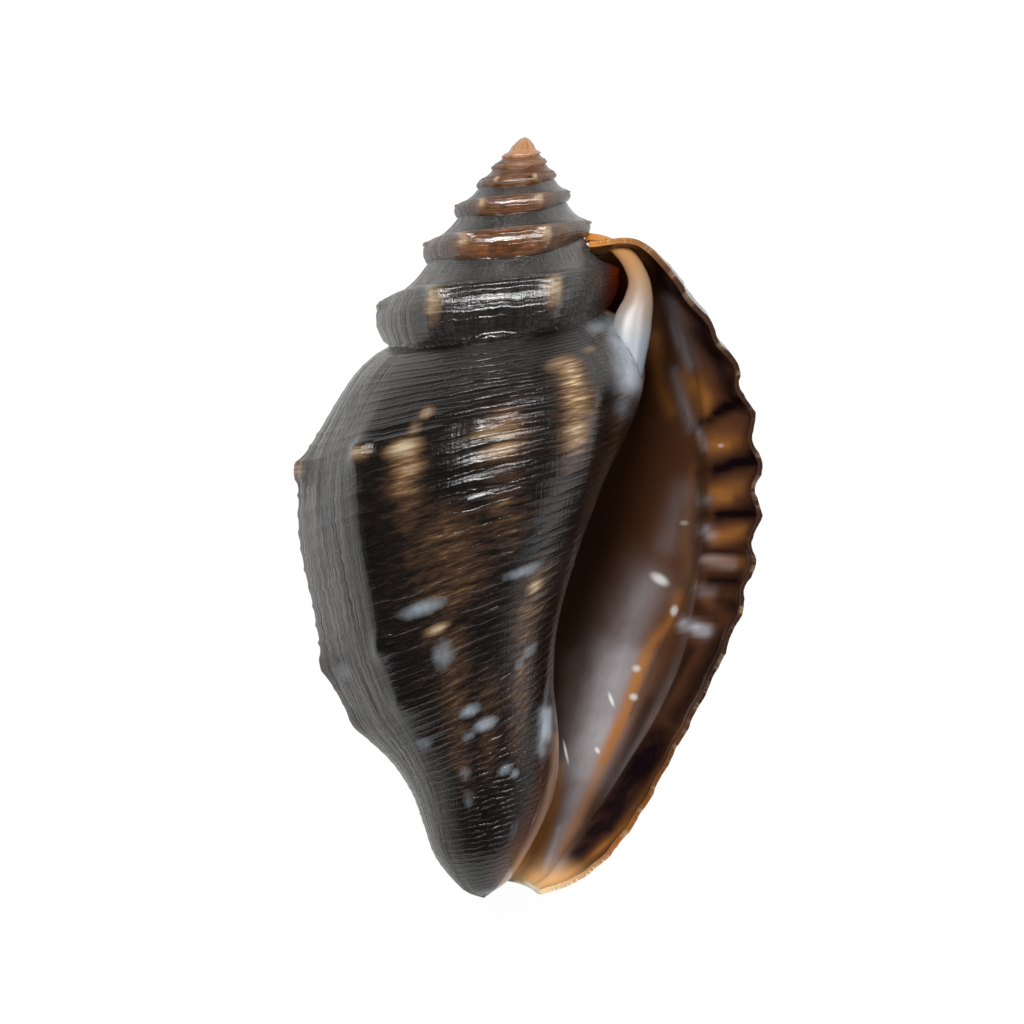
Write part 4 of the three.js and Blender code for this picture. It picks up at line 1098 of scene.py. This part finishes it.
# %% Noise that follows the whorls, with sizes in millimetres
DEGREE = 0.35  # mm of arc in a degree of growth, at the body whorl's radius of 20 mm
ROW = 6.5  # mm between two rows of the outline, on average


def noise_over(length, width, detail=4.0, roughness=0.6, seed=0.0):
    """Noise whose features have this length along the whorl and this width across it."""
    g = add(tree, MATH, [number["growth"], DEGREE / length], operation="MULTIPLY")
    r = add(tree, MATH, [number["thread_row"], ROW / width], operation="MULTIPLY")
    spot = add(tree, "ShaderNodeCombineXYZ", [g, r, seed])
    settings = {"Vector": spot, "Scale": 1.0, "Detail": detail, "Roughness": roughness}
    return add(tree, "ShaderNodeTexNoise", settings)


streaks = noise_over(5.0, 0.59, seed=1.0)
threads = noise_over(1.4, 0.25, seed=2.0)
growth_lines = noise_over(0.32, 9.3, seed=3.0)
growth_bands = noise_over(1.17, 16.0, detail=3.0, seed=11.0)
spotty = noise_over(1.17, 1.3, seed=9.0)
clouds = noise_over(5.8, 5.0, seed=5.0)
print("a degree of growth is", DEGREE, "mm and an outline row", ROW, "mm")

# %% Outside: near-black skin with pigment flames
pale = add(tree, MATH, [number["flames"], streaks], operation="MULTIPLY")
pale = add(tree, MATH, [pale, 1.5], operation="MULTIPLY")
base = add(tree, RANGE, {"Value": streaks, 1: 0.35, 2: 0.75, 3: 0.0, 4: 0.22})
cloud = add(tree, RANGE, {"Value": clouds, 1: 0.35, 2: 0.7, 3: 0.25, 4: 1.3})
base = add(tree, MATH, [base, cloud], operation="MULTIPLY")
fine = add(tree, RANGE, {"Value": threads, 1: 0.45, 2: 0.75, 3: 0.0, 4: 0.16})
base = add(tree, MATH, [base, fine], operation="ADD")
total = add(tree, MATH, [base, pale], operation="ADD", use_clamp=True)
SKIN_COLOURS = ((0.0, "#070504"), (0.18, "#15100d"), (0.4, "#3a291d"), (0.62, "#6a5138"), (0.82, "#957c5c"),
                (1.0, "#bdae92"))
skin = coloured(total, SKIN_COLOURS)
print("skin colours:", len(SKIN_COLOURS))

# %% Outside: orange-brown older whorls, the tan tip, and grey painted sheen: streaks along the growth lines on the left, and patches on the ramps
warm = add(tree, RANGE, {"Value": streaks, 1: 0.3, 2: 0.7, 3: 0.0, 4: 1.0})
warm_colour = add(tree, MIX, {0: warm, 6: linear("#301a0e"), 7: linear("#7c4a22")}, data_type="RGBA")
warm_spread = add(tree, RANGE, {"Value": clouds, 1: 0.3, 2: 0.6, 3: 0.45, 4: 1.0})
warm_amount = add(tree, MATH, [number["warm"], warm_spread], operation="MULTIPLY")
skin = add(tree, MIX, {0: warm_amount, 6: skin, 7: warm_colour}, data_type="RGBA")
# Painted sheen: grey streaks along the growth lines on the left side stand in for the floor's reflection.
left_sheen = add(tree, RANGE, {"Value": growth_lines, 1: 0.46, 2: 0.6, 3: 0.0, 4: 0.75})
left_sheen_amount = add(tree, MATH, [left_sheen, number["left_sheen"]], operation="MULTIPLY")
skin = add(tree, MIX, {0: left_sheen_amount, 6: skin, 7: linear("#5e5c59")}, data_type="RGBA")
tip_colour = add(tree, MIX, {0: warm, 6: linear("#7e5030"), 7: linear("#b98d66")}, data_type="RGBA")
skin = add(tree, MIX, {0: number["tip"], 6: skin, 7: tip_colour}, data_type="RGBA")
hatched = add(tree, MATH, [threads, growth_lines], operation="MULTIPLY")
# Painted sheen: grey is mixed into the skin, broken up by the threads and the growth lines.
sheen_hatching = add(tree, RANGE, {"Value": hatched, 1: 0.12, 2: 0.38, 3: 0.15, 4: 1.0})
grey_sheen = add(tree, MATH, [sheen_hatching, number["grey_sheen"]], operation="MULTIPLY")
skin = add(tree, MIX, {0: grey_sheen, 6: skin, 7: linear("#6b6966")}, data_type="RGBA")
print("nodes after the older whorls' colours:", len(tree.nodes))

# %% Outside: cream spots, and blue-white spots where sand and stones wore the skin through
cream_edge = add(tree, MATH, [streaks, number["cream"]], operation="MULTIPLY")
cream_amount = add(tree, RANGE, {"Value": cream_edge, 1: 0.08, 2: 0.5, 3: 0.0, 4: 0.9})
cream_colour = add(tree, MIX, {0: cream_amount, 6: linear("#8a6238"), 7: linear("#b3a68c")}, data_type="RGBA")
skin = add(tree, MIX, {0: cream_amount, 6: skin, 7: cream_colour}, data_type="RGBA")
worn_here = add(tree, MATH, [spotty, 0.6, 0.25], operation="MULTIPLY_ADD")
worn_edge = add(tree, MATH, [worn_here, number["worn"]], operation="MULTIPLY")
worn_amount = add(tree, RANGE, {"Value": worn_edge, 1: 0.1, 2: 0.52, 3: 0.0, 4: 0.85})
skin = add(tree, MIX, {0: worn_amount, 6: skin, 7: linear("#98a2ab")}, data_type="RGBA")
print("nodes after the spots:", len(tree.nodes))

# %% Inside: glaze over lime, from dark lip stripes to pearly grey with painted sheen
mottle = noise_over(2.9, 4.1, seed=7.0)
inside = add(tree, MIX, {0: number["deep"], 6: linear("#5d3a26"), 7: linear("#2c1a10")}, data_type="RGBA")
patchy = add(tree, RANGE, {"Value": mottle, 1: 0.25, 2: 0.75, 3: 0.7, 4: 1.15})
# The pearly grey is partly the glaze's own colour and partly painted sheen of light on the glossy inside.
GLAZE_COLOURS = {"haze": "#746259", "pearly_sheen": "#c6c4ca", "amber": "#b4753a", "dusk": "#150b0e",
                 "fold_line": "#4a372d"}
for name, hexcode in GLAZE_COLOURS.items():
    amount = add(tree, MATH, [number[name], patchy], operation="MULTIPLY", use_clamp=True)
    inside = add(tree, MIX, {0: amount, 6: inside, 7: linear(hexcode)}, data_type="RGBA")
print("glaze colours:", len(GLAZE_COLOURS))

# %% Inside: painted highlights, small near-white glints of light on the glaze
PAINTED_GLINTS = [  # middle in plan, half length, half width, turn in degrees, strength
    ((13.2, -6.1), 0.85, 0.45, -32, 1.0), ((14.6, -9.2), 0.5, 0.33, 75, 0.8),
    ((10.9, -15.0), 0.38, 0.32, 0, 0.6), ((10.6, -17.8), 0.38, 0.32, 0, 0.7),
    ((8.4, -18.1), 0.65, 0.17, -70, 1.0), ((7.0, -23.1), 0.32, 0.2, -60, 0.9),
    ((15.6, -0.5), 0.38, 0.24, 0, 0.35), ((3.9, -23.4), 1.0, 0.12, -78, 1.0),
    ((19.0, 7.1), 0.28, 0.2, 0, 0.4),
]
GLINT_CORE, GLINT_END = 0.3, 1.6  # in half sizes: fully pale to here, gone from there
THROUGH = 1e6  # makes a glint's ellipse a column, whatever the height
place = add(tree, "ShaderNodeTexCoord").outputs["Object"]
glint = 0.0
for middle, half_length, half_width, turn, strength in PAINTED_GLINTS:
    ellipse = {"Vector": place, "Location": (middle[0] * MM, middle[1] * MM, 0),
               "Rotation": (0, 0, math.radians(turn)),
               "Scale": (half_length * MM, half_width * MM, THROUGH)}
    spot = add(tree, "ShaderNodeMapping", ellipse, vector_type="TEXTURE")
    away = add(tree, "ShaderNodeVectorMath", [spot], operation="LENGTH").outputs["Value"]
    near = add(tree, RANGE, {"Value": away, 1: GLINT_CORE, 2: GLINT_END, 3: strength, 4: 0.0},
               interpolation_type="SMOOTHSTEP")
    glint = add(tree, MATH, [glint, near], operation="MAXIMUM")
# Painted highlights: near-white glints of light are mixed into the glaze's colour.
inside = add(tree, MIX, {0: glint, 6: inside, 7: linear("#eceae6")}, data_type="RGBA")
print("painted_glints:", len(PAINTED_GLINTS))

# %% Inside: the canal's orange end, and the callus from orange to blue-grey
ENAMEL_COLOURS = ((0.0, "#b8742c"), (0.25, "#a4784c"), (0.5, "#8a7766"), (0.72, "#777e85"), (1.0, "#757c85"))
inside = add(tree, MIX, {0: number["canal"], 6: inside, 7: linear("#e3b078")}, data_type="RGBA")
enamel = coloured(number["row"], ENAMEL_COLOURS)
inside = add(tree, MIX, {0: number["enamel"], 6: inside, 7: enamel}, data_type="RGBA")
print("enamel colours:", len(ENAMEL_COLOURS))

# %% Both on one surface: colour
RIM_COLOURS = ((0.0, "#b87a38"), (0.07, "#8a5c34"), (0.14, "#3f2b20"), (0.6, "#301f17"), (0.82, "#94581f"),
               (1.0, "#d9bd90"))
GLAZE_EDGE = 0.6  # degrees to each side over which skin turns to glaze
OVERPAINT = {"umber": "#3f2418", "strip": "#b08f7a", "hollow": "#511805"}
cloudy_edge = add(tree, RANGE, {"Value": clouds, 1: 0.3, 2: 0.7, 3: 0.75, 4: 1.25})
wash = add(tree, MATH, [number["wash"], cloudy_edge], operation="MULTIPLY", use_clamp=True)
wash_colour = add(tree, MIX, {0: clouds, 6: linear("#8a929e"), 7: linear("#c8cfd8")}, data_type="RGBA")
skin = add(tree, MIX, {0: wash, 6: skin, 7: wash_colour}, data_type="RGBA")
glazed = add(tree, RANGE, {"Value": number["glaze"], 1: -GLAZE_EDGE, 2: GLAZE_EDGE})
colour = add(tree, MIX, {0: glazed, 6: skin, 7: inside}, data_type="RGBA")
rim_colour = coloured(number["row"], RIM_COLOURS, LAST_ROW)
# Painted highlights: pale glints of light along the lip's edge.
rim_glint = add(tree, RANGE, {"Value": spotty, 1: 0.52, 2: 0.68, 3: 0.0, 4: 0.7})
rim_colour = add(tree, MIX, {0: rim_glint, 6: rim_colour, 7: linear("#b39a80")}, data_type="RGBA")
colour = add(tree, MIX, {0: number["rim"], 6: colour, 7: rim_colour}, data_type="RGBA")
for name, hexcode in OVERPAINT.items():
    colour = add(tree, MIX, {0: number[name], 6: colour, 7: linear(hexcode)}, data_type="RGBA")
print("nodes for colour:", len(tree.nodes))

# %% Both on one surface: gloss, satin on the dull left side and the callus, porcelain-smooth inside
GLAZE_ROUGHNESS, ENAMEL_ROUGHNESS = 0.16, 0.36
rough_skin = add(tree, RANGE, {"Value": threads, 1: 0.3, 2: 0.7, 3: 0.13, 4: 0.28})
rough_spire = add(tree, MATH, [rough_skin, 0.65], operation="MULTIPLY")
rough_skin = add(tree, MIX, {0: number["spire"], 2: rough_skin, 3: rough_spire})
dull = add(tree, RANGE, {"Value": growth_bands, 1: 0.4, 2: 0.65, 3: 0.12, 4: 0.5})
rough_skin = add(tree, MIX, {0: number["left_sheen"], 2: rough_skin, 3: dull})
rough = add(tree, MIX, {0: glazed, 2: rough_skin, 3: GLAZE_ROUGHNESS})
satin = add(tree, MATH, [number["enamel"], glazed], operation="MULTIPLY")
rough = add(tree, MIX, {0: satin, 2: rough, 3: ENAMEL_ROUGHNESS})
print("glaze roughness:", GLAZE_ROUGHNESS)

# %% Both on one surface: relief too fine for the mesh
THREAD_SPACING = 0.88  # mm between the skin's raised threads; real ones are finer, but wouldn't show
THREAD_HEIGHT = 0.028  # mm
wander = add(tree, MATH, [clouds, 9.0], operation="MULTIPLY")
phase = add(tree, MATH, [number["row"], 2 * math.pi * ROW / THREAD_SPACING, wander], operation="MULTIPLY_ADD")
wave = add(tree, MATH, [add(tree, MATH, [phase], operation="COSINE"), 0.5, 0.5], operation="MULTIPLY_ADD")
ridges = add(tree, MATH, [wave, 5.0], operation="POWER")
broken = add(tree, RANGE, {"Value": streaks, 1: 0.35, 2: 0.65, 3: 0.3, 4: 1.6})
relief = add(tree, MATH, [ridges, broken, threads], operation="MULTIPLY_ADD")
line_height = add(tree, RANGE, {"Value": number["left_sheen"], 3: 1.2, 4: 5.5})
relief = add(tree, MATH, [growth_lines, line_height, relief], operation="MULTIPLY_ADD")
band_height = add(tree, MATH, [number["left_sheen"], 15.0], operation="MULTIPLY")
relief = add(tree, MATH, [growth_bands, band_height, relief], operation="MULTIPLY_ADD")
smoothed = add(tree, MATH, [glazed, wash], operation="MAXIMUM")
smoothed = add(tree, MATH, [smoothed, number["tip"]], operation="MAXIMUM")
smooth_side = add(tree, MATH, [number["warm"], 0.6], operation="MULTIPLY")
smoothed = add(tree, MATH, [smoothed, smooth_side], operation="MAXIMUM")
relief = add(tree, MIX, {0: smoothed, 2: relief, 3: 0.5})
bump = add(tree, "ShaderNodeBump", {"Strength": 1.0, "Distance": THREAD_HEIGHT * MM, "Height": relief})
look = {"Base Color": colour, "Roughness": rough, "IOR": SHELL_IOR, "Normal": bump}
finish = add(tree, "ShaderNodeBsdfPrincipled", look)
add(tree, "ShaderNodeOutputMaterial", [finish])
print("shell material:", len(tree.nodes), "nodes")

# %% The shell's place among the part's names
mesh.materials.clear()
mesh.materials.append(material)
mesh.polygons.foreach_set("material_index", np.zeros(len(mesh.polygons), np.int32))
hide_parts("shell")
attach(shell, "root")
print("piece:", shell.name, "material:", material.name)

# %% [markdown]
# Floor, light and camera. The photograph was taken straight from above on a bright white sheet. The
# sheet mirrors in every slope of the shell that is steeper than 45 degrees, so its edges shine
# pale, while its middle mirrors the dim room and is dark. Lamps bright enough to make a floor this
# white would burn out the shell, so the floor gives off light of its own. One wide soft light
# towards the apex makes the long highlights, a smaller one to the right adds more, and two low
# panels fill the mouth.

# %% Floor
FLOOR_WIDTH, FLOOR_GLOW = 3.0, 0.96
bpy.ops.mesh.primitive_plane_add(size=FLOOR_WIDTH)
floor = bpy.context.object
floor.name = "floor"
# Matt white paper, lit so brightly that it burns out: it looks pure white, with a trace of a shadow.
sheet = bpy.data.materials.new("white_lit_sheet")
sheet.use_nodes = True
plain = sheet.node_tree.nodes["Principled BSDF"]
plain.inputs["Base Color"].default_value = linear("#464645")
plain.inputs["Roughness"].default_value = 0.9
plain.inputs["Emission Color"].default_value = linear("#ffffff")
plain.inputs["Emission Strength"].default_value = FLOOR_GLOW
floor.data.materials.append(sheet)
print("floor glow:", FLOOR_GLOW)

# %% The room: white low down, dim above
HORIZON_GLOW, ROOM_GLOW, ROOM_FROM = 0.6, 0.05, 0.25
scene = bpy.context.scene
world = bpy.data.worlds.new("studio")
scene.world = world
world.use_nodes = True
sky = world.node_tree
sky.nodes.clear()
direction = add(sky, "ShaderNodeTexCoord")
split = add(sky, "ShaderNodeSeparateXYZ", [direction])
up = split.outputs["Z"]
glow = add(sky, RANGE, {"Value": up, 1: 0.0, 2: ROOM_FROM, 3: HORIZON_GLOW, 4: ROOM_GLOW})
room = add(sky, "ShaderNodeBackground", {"Color": linear("#ffffff"), "Strength": glow})
add(sky, "ShaderNodeOutputWorld", [room])
print("room glow:", ROOM_GLOW)

# %% Lights
LIGHTS = [  # name, place in metres, width and height, watts, and the point that it faces
    ("softbox", (-0.12, 0.23, 0.65), (0.31, 0.15), 5.7, (-0.12, 0.0, 0.02)),
    ("window", (0.25, 0.16, 0.65), (0.18, 0.13), 2.1, (0.0, 0.0, 0.02)),
    ("right_panel", (0.55, 0.0, 0.15), (0.8, 0.12), 0.7, (0.0, 0.0, 0.02)),
    ("near_panel", (0.0, -0.55, 0.15), (0.8, 0.12), 0.45, (0.0, 0.0, 0.02)),
]
for name, place, size, power, target in LIGHTS:
    light = bpy.data.lights.new(name, "AREA")
    light.shape = "RECTANGLE"
    light.size, light.size_y = size
    light.energy = power
    lamp = bpy.data.objects.new(name, light)
    scene.collection.objects.link(lamp)
    lamp.location = place
    towards = Vector(target) - Vector(place)
    lamp.rotation_euler = towards.to_track_quat("-Z", "Y").to_euler()
    lamp.visible_camera = False
print("lights:", [name for name, *_ in LIGHTS])

# %% Camera
VIEW_WIDTH = 100.9 * MM  # what the picture shows across, at the shell's axis
VIEW_MIDDLE = (-1.48 * MM, 0.58 * MM)
CAMERA_DISTANCE = 0.9
camera_data = bpy.data.cameras.new("camera")
camera_data.sensor_width = 36.0
camera_data.lens = camera_data.sensor_width * CAMERA_DISTANCE / VIEW_WIDTH
camera_data.clip_start, camera_data.clip_end = 0.01, 10.0
camera = bpy.data.objects.new("camera", camera_data)
camera.location = (*VIEW_MIDDLE, REST_DEPTH * MM + CAMERA_DISTANCE)
scene.collection.objects.link(camera)
scene.camera = camera
scene.view_settings.view_transform = "Standard"
print("lens in mm:", round(camera_data.lens, 1))
